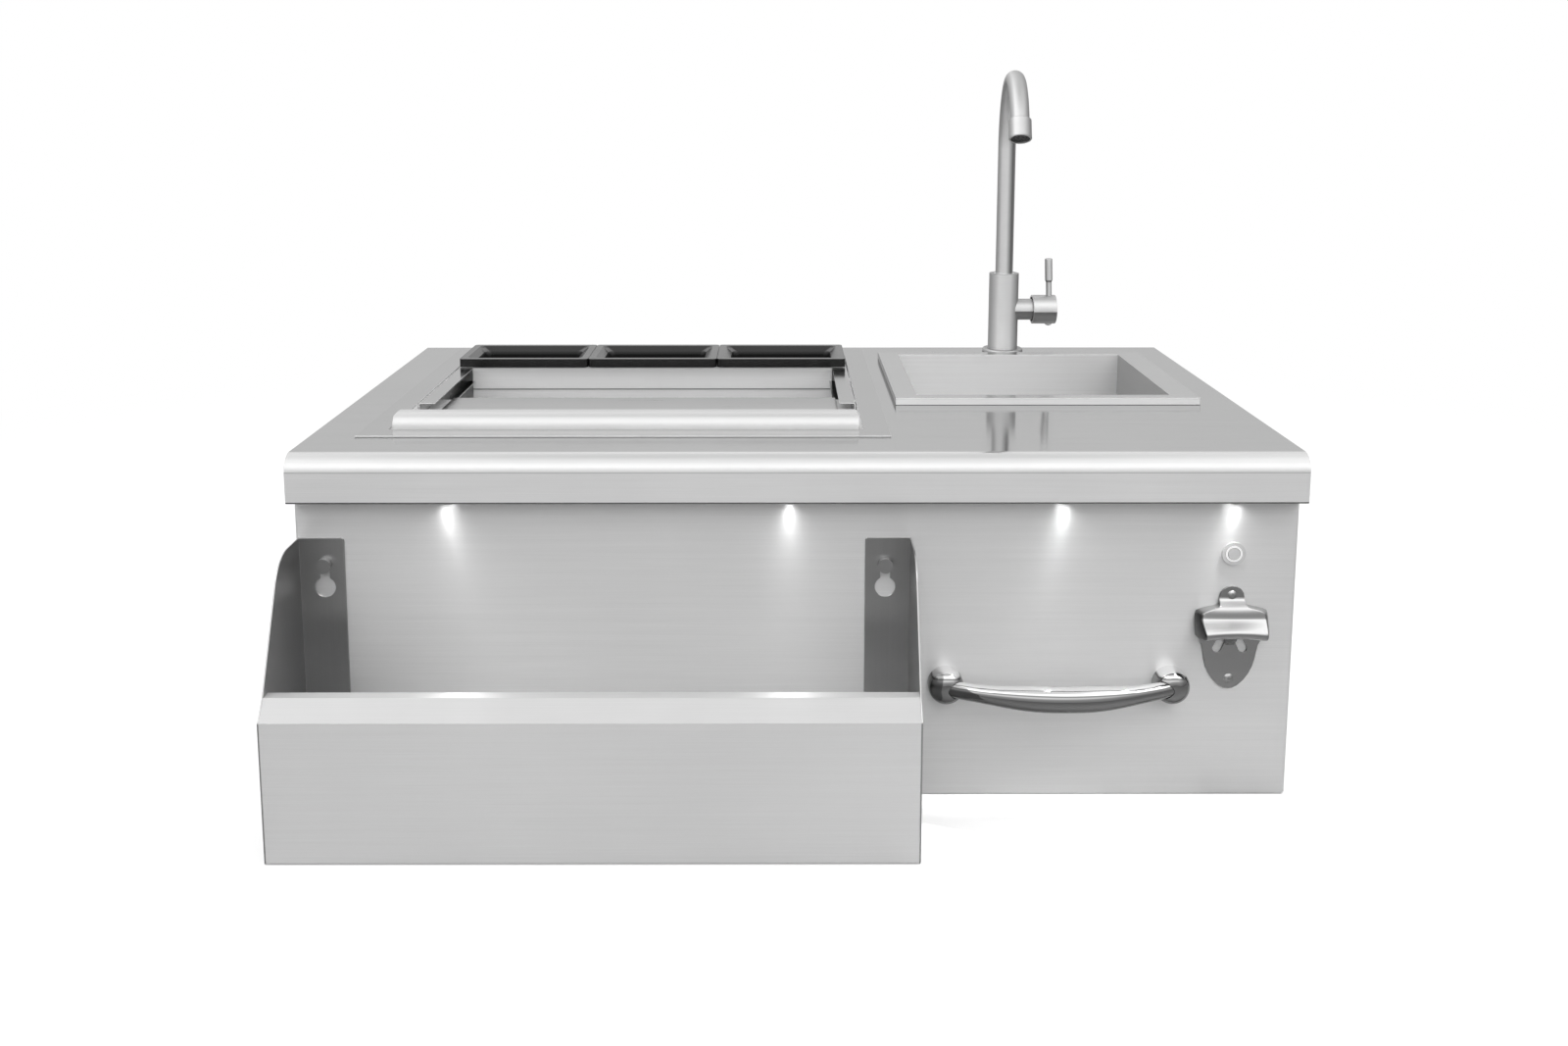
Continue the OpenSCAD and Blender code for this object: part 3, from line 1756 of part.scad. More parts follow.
// Radius of the bar at angle a along its bow: straight in its sockets, swelling between them
function bar_radius(a) =
  let (
    reach = bar_span / 2 - socket_depth,
    s = min(1, max(0, (reach - abs(bow_r * sin(a))) / (reach * 0.8)))
  )
  (bar_end_d + (bar_mid_d - bar_end_d) * s * s * (3 - 2 * s)) / 2;

// Ring of points round the bar at angle a along its bow
function bar_ring(a) = [
  for (k = [0 : bar_sides - 1])
    let (
      t = 360 * k / bar_sides,
      r = bow_r + bar_radius(a) * cos(t)
    )
    [r * sin(a), bow_r - bar_root - bar_bow - r * cos(a), bar_radius(a) * sin(t)]
];

// Moves to the middle between the towel bar's posts on the front panel
module at_bar() {
  place()
    translate([bar_x, front_step, -bar_drop])
      children();
}

module towel_bar() {
  end_a = bow_angle * (1 - 3 / bar_span);
  rings = [for (i = [0 : bar_rings]) bar_ring(end_a * (2 * i / bar_rings - 1))];
  last = bar_rings * bar_sides;
  color("silver") at_bar()
    polyhedron(
      points = [for (ring = rings) each ring],
      faces = [
        [for (k = [0 : bar_sides - 1]) k],
        [for (k = [bar_sides - 1 : -1 : 0]) last + k],
        for (i = [0 : bar_rings - 1], k = [0 : bar_sides - 1])
          let (next = (k + 1) % bar_sides, a = i * bar_sides, b = a + bar_sides)
            each [[a + k, b + k, b + next], [a + k, b + next, a + next]]
      ]
    );
}

// Domed posts with a socket for the bar's end and a stud through the panel
module towel_bar_posts() {
  r = post_d / 2;
  color("silver") at_bar()
    for (side = [-1, 1])
      translate([side * bar_span / 2, 0, 0])
        difference() {
          union() {
            rotate([90, 0, 0])
              rotate_extrude($fn = smooth)
                blank(
                  [[0, 0], [r, 0], [r, post_h], [0, post_h]],
                  [0, 0, r * 0.8, 0]
                );
            rod_y([0, -1, 0], sheet + 9, bar_stud_d);
          }
          translate([0, -bar_root, 0])
            rotate([0, 0, side == 1 ? 180 + bow_angle : -bow_angle])
              rod_x([-1, 0, 0], post_d, bar_end_d + 2 * slide_gap);
        }
}

// ---- Speed rail ----

// Headed studs through the front panel, each with its nut behind
module hook_studs() {
  gap = 2 * slide_gap + end_t;
  nut_t = 5;
  color("silver") place()
    for (x = stud_xs) {
      rod_y([x, front_step - gap, -stud_drop], gap + sheet + nut_t + 4, stud_neck_d);
      rod_y([x, front_step - gap - stud_head_t, -stud_drop], stud_head_t, stud_head_d);
      translate([x, panel_in_y, -stud_drop])
        rotate([-90, 0, 0])
          hex_nut([0, 0, 0], stud_neck_d + 5, nut_t, stud_neck_d + 2 * run_fit);
    }
}

// Folded trough without its ends: upstand, floor and front, then the sloped band and the lip
module speed_rail_trough() {
  half = sheet / 2;
  back = front_step - slide_gap - end_t - half;
  front = front_step - rail_reach;
  crease = [front, -lip_drop - band_h];
  top = [front + band_lean, -lip_drop];
  below = crease - [0, 2 * band_h];
  lip = top + [lip_return, 0];
  color("gainsboro") place()
    along_x(rail_x0 + end_t, rail_x1 - end_t) {
      fold(
        [
          [back, rail_base + upstand_h],
          [back, rail_base + half],
          [front + half, rail_base + half],
          [front + half, crease.y - band_h]
        ],
        [0, bend_r, bend_r, 0],
        sheet
      );
      polygon([
        below,
        crease,
        top,
        lip,
        lip - [0, sheet],
        bend_middle(crease, top, lip, sheet),
        bend_middle(below, crease, top, sheet),
        below + [sheet, 0]
      ]);
    }
}

// End plate with its hanging flange, at the right of the rail when side is 1
module speed_rail_end(side) {
  x = side == 1 ? rail_x1 : rail_x0;
  back = front_step - slide_gap;
  front = front_step - rail_reach;
  slot_z = -stud_drop - (keyhole_slot - stud_neck_d) / 2 + slide_gap;
  hole_z = -stud_drop - keyhole_drop;
  color("gray") place()
    translate([x, 0, 0])
      mirror([side == 1 ? 1 : 0, 0, 0])
        difference() {
          union() {
            along_x(0, end_t)
              blank(
                [
                  [back, rail_base],
                  [back, -rail_drop],
                  [front_step - end_corner, -rail_drop],
                  [front + band_lean, -lip_drop],
                  [front, -lip_drop - band_h],
                  [front, rail_base]
                ],
                [0, 0, end_round, 0, fold_r + sheet, fold_r + sheet]
              );
            along_y(back - end_t, back)
              blank(
                [
                  [0, rail_base],
                  [0, -rail_drop],
                  [hang_flange, -rail_drop],
                  [hang_flange, rail_base]
                ],
                [0, 0, 3, 0]
              );
          }
          rod_y([stud_inset, back - 10, slot_z], 20, keyhole_slot);
          block(
            [stud_inset - keyhole_slot / 2, back - 10, hole_z],
            [stud_inset + keyhole_slot / 2, back + 10, slot_z]
          );
          rod_y([stud_inset, back - 10, hole_z], 20, keyhole_d);
        }
}

module speed_rail_left_end() {
  speed_rail_end(-1);
}

module speed_rail_right_end() {
  speed_rail_end(1);
}

countertop();
front_panel();
left_side_panel();
right_side_panel();
back_panel();
base_tray();
center_brace();
bin_frame();
bin_liner();
bin_insulation();
bin_outer_shell();
left_rail();
right_rail();
rail_screws();
lid_plate();
lid_handle();
lid_glides();
condiment_rack();
condiment_pan_1();
condiment_pan_2();
condiment_pan_3();
bin_drain_body();
bin_drain_nut();
bin_drain_strainer();
sink_bowl();
waste_body();
waste_gasket();
waste_nut();
waste_basket();
waste_tailpiece();
mixer_base_ring();
mixer_body();
mixer_bush();
mixer_spout();
mixer_outlet();
aerator();
valve_cartridge();
valve_trunnion();
valve_cap();
valve_stem();
valve_lever();
cap_plug();
mixer_fixings();
lamp_housings();
lamp_lenses();
lamp_driver();
lamp_wiring();
power_gland();
switch_body();
switch_ring();
switch_button();
switch_nut();
opener_plate();
opener_screws();
towel_bar();
towel_bar_posts();
hook_studs();
speed_rail_trough();
speed_rail_left_end();
speed_rail_right_end();
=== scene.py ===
import json
import math

import bmesh
import bpy
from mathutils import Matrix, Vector

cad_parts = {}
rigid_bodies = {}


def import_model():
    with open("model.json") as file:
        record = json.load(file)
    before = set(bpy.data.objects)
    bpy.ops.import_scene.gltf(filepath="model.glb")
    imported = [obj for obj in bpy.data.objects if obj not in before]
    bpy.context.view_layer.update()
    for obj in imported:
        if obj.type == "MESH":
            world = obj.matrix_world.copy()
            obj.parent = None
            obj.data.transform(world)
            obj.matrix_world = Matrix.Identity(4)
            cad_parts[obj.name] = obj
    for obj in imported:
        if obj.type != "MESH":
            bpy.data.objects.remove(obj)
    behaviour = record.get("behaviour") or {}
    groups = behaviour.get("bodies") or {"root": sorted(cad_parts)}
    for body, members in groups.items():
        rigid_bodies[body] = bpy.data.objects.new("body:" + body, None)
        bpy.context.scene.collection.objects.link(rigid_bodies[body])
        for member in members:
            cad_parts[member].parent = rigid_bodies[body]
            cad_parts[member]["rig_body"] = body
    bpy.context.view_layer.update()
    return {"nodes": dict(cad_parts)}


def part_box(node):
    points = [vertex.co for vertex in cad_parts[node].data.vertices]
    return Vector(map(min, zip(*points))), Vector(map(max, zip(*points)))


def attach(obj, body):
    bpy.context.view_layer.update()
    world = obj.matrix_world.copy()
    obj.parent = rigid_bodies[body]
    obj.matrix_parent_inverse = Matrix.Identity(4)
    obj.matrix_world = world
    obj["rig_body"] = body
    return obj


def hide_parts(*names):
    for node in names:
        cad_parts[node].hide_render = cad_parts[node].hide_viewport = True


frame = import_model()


# ---- Camera ----
# Stands 1.4 m in front of the counter, almost as high as the mixer, and looks slightly down. Its
# place and lens were fitted to points of the unit in the photograph.
scene = bpy.context.scene
camera_at = Vector((-0.0234, -1.6465, 0.7626))
camera_tilt = math.radians(90 - 8.183)
camera_roll = math.radians(-0.119)
lens_in_pixels = 1418.2
image_width = 1600

eye = bpy.data.cameras.new("camera")
eye.sensor_width = 36
eye.lens = lens_in_pixels * eye.sensor_width / image_width
eye.shift_x = 0.00384
eye.shift_y = -0.15
eye.clip_start = 0.05
camera = bpy.data.objects.new("camera", eye)
camera.location = camera_at
camera.rotation_euler = (camera_tilt, 0, camera_roll)
scene.collection.objects.link(camera)
scene.camera = camera


# ---- Studio ----
# A pale floor that runs out into a white surround, one wide soft lamp overhead, and softer ones at
# the sides. Metal mirrors none of the lamps, but a room that is dim low down, bright well above eye
# level and dim again overhead.
scene.view_settings.view_transform = "Standard"


def put(tree, kind, inputs=(), **settings):
    """Adds a shader node, sets its properties, and links or sets the inputs given by name."""
    made = tree.nodes.new(kind)
    for key, value in settings.items():
        setattr(made, key, value)
    for key, value in dict(inputs).items():
        if isinstance(value, bpy.types.NodeSocket):
            tree.links.new(value, made.inputs[key])
        else:
            made.inputs[key].default_value = value
    return made


def maths(tree, operation, a, b=0.0, c=0.0, clamp=False):
    """One Math node on numbers or sockets."""
    made = put(tree, "ShaderNodeMath", {0: a, 1: b, 2: c}, operation=operation, use_clamp=clamp)
    return made.outputs[0]


def graded(tree, value, stops):
    """Grey values along a socket, given as (position, grey) pairs."""
    ramp = put(tree, "ShaderNodeValToRGB", {"Fac": value})
    elements = ramp.color_ramp.elements
    while len(elements) < len(stops):
        elements.new(1.0)
    for element, (position, grey) in zip(elements, stops):
        element.position = position
        element.color = (grey, grey, grey, 1)
    return ramp.outputs["Color"]


def mixed(tree, factor, a, b, blend="MIX"):
    """Mix of two colours."""
    made = put(tree, "ShaderNodeMix", {0: factor, 6: a, 7: b}, data_type="RGBA", blend_type=blend)
    return made.outputs[2]


surround = bpy.data.worlds.new("surround")
scene.world = surround
surround.use_nodes = True
sky = surround.node_tree
sky.nodes.clear()
sight = put(sky, "ShaderNodeTexCoord").outputs["Generated"]
away = put(sky, "ShaderNodeSeparateXYZ", {0: sight})
ray = put(sky, "ShaderNodeLightPath")
height = maths(sky, "MULTIPLY_ADD", away.outputs["Z"], 0.5, 0.5)
depth = maths(sky, "MULTIPLY_ADD", away.outputs["Y"], 0.5, 0.5)

# Tones of the mirrored room by height, from straight down at 0 to straight up at 1.
front_wall = [(0.0, 0.125), (0.49, 0.225), (0.60, 0.275), (0.69, 0.4), (0.76, 0.85), (0.8, 1.0)]
back_wall = [(0.0, 0.31), (0.50, 0.36), (0.64, 0.44), (0.80, 0.7)]
side_wall = [(0.0, 0.075), (0.50, 0.125), (0.64, 0.22), (0.78, 0.65)]
zenith = [(0.93, 1.0), (0.985, 0.4)]
before = graded(sky, height, front_wall + zenith)
behind = graded(sky, height, back_wall + zenith)
beside = graded(sky, height, side_wall + zenith)
mirrored = mixed(sky, graded(sky, depth, [(0.45, 0.0), (0.65, 1.0)]), before, behind)
sideways = maths(sky, "ABSOLUTE", away.outputs["X"])
mirrored = mixed(sky, graded(sky, sideways, [(0.62, 0.0), (0.86, 1.0)]), mirrored, beside)
metal_ray = maths(sky, "MAXIMUM", ray.outputs["Is Glossy Ray"], ray.outputs["Is Transmission Ray"])
full_white = (1, 1, 1, 1)
fill_strength = 0.62
room_strength = 2.0
seen_strength = 1.0
plain = put(sky, "ShaderNodeBackground", {"Color": full_white, "Strength": fill_strength})
room = put(sky, "ShaderNodeBackground", {"Color": mirrored, "Strength": room_strength})
white = put(sky, "ShaderNodeBackground", {"Color": full_white, "Strength": seen_strength})
unseen = put(sky, "ShaderNodeMixShader", {0: metal_ray, 1: plain.outputs[0], 2: room.outputs[0]})
in_view = ray.outputs["Is Camera Ray"]
whole = put(sky, "ShaderNodeMixShader", {0: in_view, 1: unseen.outputs[0], 2: white.outputs[0]})
put(sky, "ShaderNodeOutputWorld", {"Surface": whole.outputs[0]})

# The floor is matt and keeps the shadow near the unit, and fades out to white farther off.
floor_reach = 30
floor_grey = (0.8, 0.8, 0.8, 1)
mirrored_floor_grey = (0.3, 0.3, 0.3, 1)
floor_lift = 0.42
fade_from = 0.9
fade_to = 2.4
floor_mesh = bpy.data.meshes.new("floor")
corners = [(-1, -1), (1, -1), (1, 1), (-1, 1)]
floor_points = [(x * floor_reach, y * floor_reach, 0) for x, y in corners]
floor_mesh.from_pydata(floor_points, [], [(0, 1, 2, 3)])
floor = bpy.data.objects.new("floor", floor_mesh)
scene.collection.objects.link(floor)
pale = bpy.data.materials.new("pale_floor")
pale.use_nodes = True
floor_tree = pale.node_tree
floor_tree.nodes.clear()
floor_ray = put(floor_tree, "ShaderNodeLightPath")
floor_tone = mixed(floor_tree, floor_ray.outputs["Is Glossy Ray"], floor_grey, mirrored_floor_grey)
matt = put(floor_tree, "ShaderNodeBsdfDiffuse", {"Color": floor_tone})
lifted = maths(floor_tree, "MULTIPLY", floor_ray.outputs["Is Camera Ray"], floor_lift)
lift = put(floor_tree, "ShaderNodeEmission", {"Color": full_white, "Strength": lifted})
near = put(floor_tree, "ShaderNodeAddShader", {0: matt.outputs[0], 1: lift.outputs[0]})
spot = put(floor_tree, "ShaderNodeNewGeometry").outputs["Position"]
reach = put(floor_tree, "ShaderNodeVectorMath", {0: spot}, operation="LENGTH").outputs["Value"]
fade = put(
    floor_tree,
    "ShaderNodeMapRange",
    {0: reach, 1: fade_from, 2: fade_to},
    interpolation_type="SMOOTHSTEP",
).outputs[0]
fade = maths(floor_tree, "MULTIPLY", fade, floor_ray.outputs["Is Camera Ray"])
far = put(floor_tree, "ShaderNodeEmission", {"Color": full_white, "Strength": seen_strength})
ground = put(floor_tree, "ShaderNodeMixShader", {0: fade, 1: near.outputs[0], 2: far.outputs[0]})
put(floor_tree, "ShaderNodeOutputMaterial", {"Surface": ground.outputs[0]})
floor_mesh.materials.append(pale)


def soft_lamp(name, at, size, watts):
    """A rectangular studio lamp aimed at the unit's middle, and left out of reflections."""
    middle = Vector((0, 0, 0.35))
    light = bpy.data.lights.new(name, "AREA")
    light.shape = "RECTANGLE"
    light.size, light.size_y = size
    light.energy = watts
    lamp = bpy.data.objects.new(name, light)
    lamp.location = at
    lamp.rotation_euler = (middle - Vector(at)).to_track_quat("-Z", "Y").to_euler()
    lamp.visible_glossy = False
    scene.collection.objects.link(lamp)


soft_lamp("overhead_lamp", (0, -0.3, 2.3), (2.6, 1.8), 20)
soft_lamp("left_lamp", (-2.4, -1.6, 1.6), (1.0, 1.6), 14)
soft_lamp("right_lamp", (2.4, -1.2, 1.6), (1.0, 1.6), 14)


# ---- Counter ----
# One sheet of stainless steel, folded down over a round nose at the front, with its end caps welded on
# and ground flush. It is brushed from left to right, and the nose is polished over and smoother; its
# brightness is painted highlight.
MM = 0.001


def steel(name, tone, gloss, lay, spread, streak=0.06, tint=1.0, cloud=0.04, bump=0.12, metal=1.0):
    """Brushed stainless steel. lay is the way the brush went: along_x, along_z, or round_x, round_y
    or round_z on turned pieces. spread is how much its highlights are drawn out across the marks,
    streak how strong the marks are, and cloud how uneven the sheet is."""
    made = bpy.data.materials.new(name)
    made.use_nodes = True
    tree = made.node_tree
    shader = tree.nodes["Principled BSDF"]
    coords = put(tree, "ShaderNodeTexCoord").outputs
    where = coords["Object"]
    axis = {"x": (1, 0, 0), "y": (0, 1, 0), "z": (0, 0, 1)}[lay[-1]]
    fine, long = 1400, 9  # how often a mark changes in a metre, across and along the brush
    if lay.startswith("along"):
        scale = [long if a else fine for a in axis]
    else:
        scale = [fine if a else long * 4 for a in axis]
    line = put(tree, "ShaderNodeCombineXYZ", dict(enumerate(axis))).outputs[0]
    if lay == "along_x":
        outward = put(tree, "ShaderNodeSeparateXYZ", {0: coords["Normal"]}).outputs["X"]
        end = maths(tree, "GREATER_THAN", maths(tree, "ABSOLUTE", outward), 0.7)
        xyz = put(tree, "ShaderNodeSeparateXYZ", {0: where}).outputs
        turned = put(tree, "ShaderNodeCombineXYZ", {0: xyz[1], 1: xyz[0], 2: xyz[2]}).outputs[0]
        where = put(tree, "ShaderNodeMix", {0: end, 4: where, 5: turned}, data_type="VECTOR").outputs[1]
        front = maths(tree, "SUBTRACT", 1.0, end)
        line = put(tree, "ShaderNodeCombineXYZ", {0: front, 1: end}).outputs[0]
    line = put(
        tree,
        "ShaderNodeVectorTransform",
        {0: line},
        vector_type="VECTOR",
        convert_from="OBJECT",
        convert_to="WORLD",
    ).outputs[0]
    if lay.startswith("along"):
        face = put(tree, "ShaderNodeNewGeometry").outputs["Normal"]
        line = put(tree, "ShaderNodeVectorMath", {0: face, 1: line}, operation="CROSS_PRODUCT").outputs[0]
    tree.links.new(line, shader.inputs["Tangent"])

    def noise(at, size, detail):
        """Noise between -0.5 and 0.5."""
        inputs = {"Vector": at, "Scale": size, "Detail": detail, "Roughness": 0.6}
        return maths(tree, "SUBTRACT", put(tree, "ShaderNodeTexNoise", inputs).outputs[0], 0.5)

    brushed = put(tree, "ShaderNodeMapping", {"Vector": where, "Scale": scale}).outputs[0]
    marks = noise(brushed, 1.0, 3.0)
    bands = noise(brushed, 0.12, 2.0)
    haze = noise(where, 5.0, 3.0)
    wiped = noise(where, 38.0, 2.0) if lay.startswith("along") else 0.0
    across = {"Vector": where, "Rotation": (0.5, 0.9, 0.6), "Scale": (900, 14, 900)}
    slant = put(tree, "ShaderNodeMapping", across).outputs[0]
    rare = 0.335  # only the noise's highest peaks become scratches
    scratch = maths(tree, "GREATER_THAN", noise(slant, 1.0, 0.0), rare)
    shade = maths(tree, "MULTIPLY_ADD", marks, streak * 2, 1.0)
    shade = maths(tree, "MULTIPLY_ADD", bands, streak, shade)
    shade = maths(tree, "MULTIPLY_ADD", haze, cloud * 2, shade)
    shade = maths(tree, "MULTIPLY_ADD", scratch, streak * -0.5, shade)
    colour = put(tree, "ShaderNodeVectorMath", {0: tone, "Scale": shade}, operation="SCALE").outputs[0]
    tree.links.new(colour, shader.inputs["Base Color"])
    rough = maths(tree, "MULTIPLY_ADD", marks, 0.10, gloss)
    rough = maths(tree, "MULTIPLY_ADD", wiped, 0.04, rough)
    rough = maths(tree, "MULTIPLY_ADD", haze, 0.06, rough, clamp=True)
    tree.links.new(rough, shader.inputs["Roughness"])
    cut = maths(tree, "MULTIPLY_ADD", scratch, -0.4, marks)
    relief = {"Height": cut, "Strength": bump, "Distance": 0.00004}
    raised = put(tree, "ShaderNodeBump", relief).outputs[0]
    tree.links.new(raised, shader.inputs["Normal"])
    shader.inputs["Metallic"].default_value = metal
    shader.inputs["Anisotropic"].default_value = spread
    shader.inputs["Specular Tint"].default_value = (tint, tint, tint, 1)
    return made


def grey(level):
    """A neutral colour."""
    return (level, level, level)


def clad(node, material):
    """Gives a CAD node its material."""
    piece = frame["nodes"][node]
    piece.data.materials.clear()
    piece.data.materials.append(material)
    for face in piece.data.polygons:
        face.material_index = 0


def body_of(node):
    """The CAD body that carries a node."""
    return frame["nodes"][node]["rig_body"]


def mesh_of(name, built):
    """The finished mesh of a shape built in bmesh."""
    mesh = bpy.data.meshes.new(name)
    built.to_mesh(mesh)
    built.free()
    return mesh


def eased(node, name, material, ease):
    """Makes a copy of a CAD node with its sharp edges eased by some millimetres, as deburred metal
    is, which stands for the node."""
    one_point = 1e-6
    flat = math.radians(0.3)
    corner = math.radians(28)
    shell = bmesh.new()
    shell.from_mesh(frame["nodes"][node].data)
    bmesh.ops.remove_doubles(shell, verts=shell.verts, dist=one_point)
    bmesh.ops.dissolve_limit(
        shell,
        angle_limit=flat,
        verts=shell.verts,
        edges=shell.edges,
        use_dissolve_boundaries=False,
    )
    sharp = [e for e in shell.edges if len(e.link_faces) == 2 and e.calc_face_angle(0) > corner]
    bmesh.ops.bevel(
        shell,
        geom=sharp,
        offset=ease * MM,
        offset_type="OFFSET",
        segments=2,
        profile=0.5,
        affect="EDGES",
        clamp_overlap=True,
    )
    placed(mesh_of(name, shell), name, material, body_of(node), [node])


def placed(mesh, name, material, body, nodes):
    """Links a finished mesh, smooths its normals, and lets it ride on its body and stand for its
    nodes."""
    mesh.materials.clear()
    mesh.materials.append(material)
    for face in mesh.polygons:
        face.use_smooth = True
        face.material_index = 0
    piece = bpy.data.objects.new(name, mesh)
    scene.collection.objects.link(piece)
    mesh.set_sharp_from_angle(angle=math.radians(50))
    evened = piece.modifiers.new("evened", "WEIGHTED_NORMAL")
    evened.keep_sharp = True
    evened.weight = 100
    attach(piece, body)
    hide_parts(*nodes)


def parts_of(tree, kind):
    """The X, Y and Z of a texture coordinate, such as Object or Normal."""
    whole = put(tree, "ShaderNodeTexCoord").outputs[kind]
    return put(tree, "ShaderNodeSeparateXYZ", {0: whole}).outputs


def darkened(material, shade):
    """Multiplies a material's colour by a grey."""
    tree = material.node_tree
    shader = tree.nodes["Principled BSDF"]
    colour = shader.inputs["Base Color"].links[0].from_socket
    tree.links.new(mixed(tree, 1.0, colour, shade, "MULTIPLY"), shader.inputs["Base Color"])


def faced(material, axis, tones, rougher=None):
    """Paints light and shade into a metal's tone by the way each face points, and lets its added
    roughness follow it too. Stops are pairs of the normal's part along the axis, from -1 to 1, and a
    value."""
    tree = material.node_tree
    shader = tree.nodes["Principled BSDF"]
    way = maths(tree, "MULTIPLY_ADD", parts_of(tree, "Normal")[axis], 0.5, 0.5)
    darkened(material, graded(tree, way, [((at + 1) / 2, value) for at, value in tones]))
    if rougher:
        added = graded(tree, way, [((at + 1) / 2, value) for at, value in rougher])
        gloss = shader.inputs["Roughness"].links[0].from_socket
        tree.links.new(maths(tree, "ADD", gloss, added), shader.inputs["Roughness"])


# Painted light and shade by the way faces point, from down to up: a painted dark underside, the apron, a
# painted dark line at its fold, a painted highlight on the nose, and a painted darker top, which is also
# smoother than the rest.
painted_facing_light = [
    (-1.0, 0.2), (-0.3, 0.25),
    (-0.1, 0.96), (0.015, 0.96),
    (0.02, 0.7), (0.07, 0.7),
    (0.08, 1.0), (0.35, 1.0),
    (0.6, 0.7), (0.97, 0.5), (0.99, 0.58),
]
worn_gloss = [(0.0, 0.46), (0.04, 0.36), (0.6, 0.36), (0.95, 0.26), (0.99, 0.0)]
counter_steel = steel("counter_steel", grey(1.0), 0.1, "along_x", 0.75, tint=0.8)
faced(counter_steel, "Z", painted_facing_light, worn_gloss)
eased("countertop", "counter", counter_steel, 0.4)


# ---- Cabinet ----
# Folded panels round the two bowls, spot-welded at their returns. The front is brushed from left
# to right like the counter; the parts inside are plain mill sheet.
panel_steel = steel("panel_steel", grey(0.9), 0.5, "along_x", 0.8, cloud=0.02, metal=0.9)
for node in ["front_panel", "left_side_panel", "right_side_panel", "back_panel"]:
    eased(node, node + "_sheet", panel_steel, 0.4)
inner_steel = steel("inner_steel", grey(0.5), 0.4, "along_x", 0.5)
for node in ["base_tray", "center_brace", "bin_outer_shell"]:
    clad(node, inner_steel)


# ---- Ice bin ----
# A welded liner in a foamed shell, under a flat trim frame that drops into the counter. The
# liner keeps the pale, dull finish of the mill; the drain is a screwed plastic fitting.
trim_steel = steel("trim_steel", grey(0.95), 0.12, "along_x", 0.7, tint=0.8)
# The trim frame gets the same painted light and shade by the way its faces point.
faced(trim_steel, "Z", painted_facing_light, worn_gloss)
eased("bin_frame", "bin_trim", trim_steel, 0.4)
liner_steel = steel("liner_steel", grey(0.98), 0.6, "along_x", 0.3, metal=0.1)
eased("bin_liner", "bin_inside", liner_steel, 0.5)


def moulded(name, colour, gloss, grain=0.25):
    """Moulded plastic, foam or rubber with a fine grain and slight unevenness."""
    mottle = 0.16
    made = bpy.data.materials.new(name)
    made.use_nodes = True
    tree = made.node_tree
    shader = tree.nodes["Principled BSDF"]
    where = put(tree, "ShaderNodeTexCoord").outputs["Object"]
    grains = put(tree, "ShaderNodeTexNoise", {"Vector": where, "Scale": 1800.0, "Detail": 2.0}).outputs[0]
    patch = put(tree, "ShaderNodeTexNoise", {"Vector": where, "Scale": 14.0, "Detail": 3.0}).outputs[0]
    patch = maths(tree, "SUBTRACT", patch, 0.5)
    shade = maths(tree, "MULTIPLY_ADD", patch, mottle, 1.0)
    colour = put(tree, "ShaderNodeVectorMath", {0: colour, "Scale": shade}, operation="SCALE").outputs[0]
    tree.links.new(colour, shader.inputs["Base Color"])
    rough = maths(tree, "MULTIPLY_ADD", patch, 0.12, gloss, clamp=True)
    tree.links.new(rough, shader.inputs["Roughness"])
    relief = {"Height": grains, "Strength": grain, "Distance": 0.0001}
    raised = put(tree, "ShaderNodeBump", relief).outputs[0]
    tree.links.new(raised, shader.inputs["Normal"])
    return made


clad("bin_insulation", moulded("foam", (0.75, 0.68, 0.45), 0.8, 0.6))
grey_moulding = moulded("grey_moulding", grey(0.2), 0.45)
clad("bin_drain_body", grey_moulding)
black_moulding = moulded("black_moulding", grey(0.02), 0.4)
clad("bin_drain_nut", black_moulding)
turned_steel = steel("turned_steel", grey(0.86), 0.24, "round_z", 0.6)
clad("bin_drain_strainer", turned_steel)


# ---- Rails and lid ----
# Two folded channels screwed to the trim frame carry a flat sheet lid on nylon strips. The lid's
# grip is a folded bar along its front.
bright_sheet = steel("bright_sheet", grey(0.68), 0.3, "along_x", 0.6)
for node in ["left_rail", "right_rail"]:
    eased(node, node + "_channel", trim_steel, 0.3)
clad("rail_screws", bright_sheet)
lid_steel = steel("lid_steel", grey(0.42), 0.3, "along_x", 0.6)
eased("lid_plate", "lid_sheet", lid_steel, 0.3)
grip_steel = steel("grip_steel", grey(1.0), 0.4, "along_x", 0.7, metal=0.9)
# Painted light and shade on the grip by the way its faces point: bright on its front, darker below and on
# top.
grip_painted_light = [(-1.0, 0.6), (-0.3, 0.75), (-0.05, 1.0), (0.1, 0.95), (0.5, 0.68), (1.0, 0.52)]
faced(grip_steel, "Z", grip_painted_light)
eased("lid_handle", "lid_grip", grip_steel, 0.5)
white_nylon = moulded("white_nylon", grey(0.8), 0.4)
clad("lid_glides", white_nylon)


# ---- Condiment rack ----
# A folded steel channel that drops between the rails and holds three black plastic pans by their
# rims. The pans are moulded, with a satin finish.
rack_steel = steel("rack_steel", grey(1.0), 0.5, "along_x", 0.8, metal=0.12)
# Painted shade: the rack's upward faces are darker than its upright ones.
faced(rack_steel, "Z", [(0.1, 1.0), (0.4, 0.6), (1.0, 0.5)])
rack_tree = rack_steel.node_tree
rack_low, rack_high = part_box("condiment_rack")
down = maths(rack_tree, "SUBTRACT", rack_high.z, parts_of(rack_tree, "Object")["Z"])
down = maths(rack_tree, "DIVIDE", down, rack_high.z - rack_low.z)
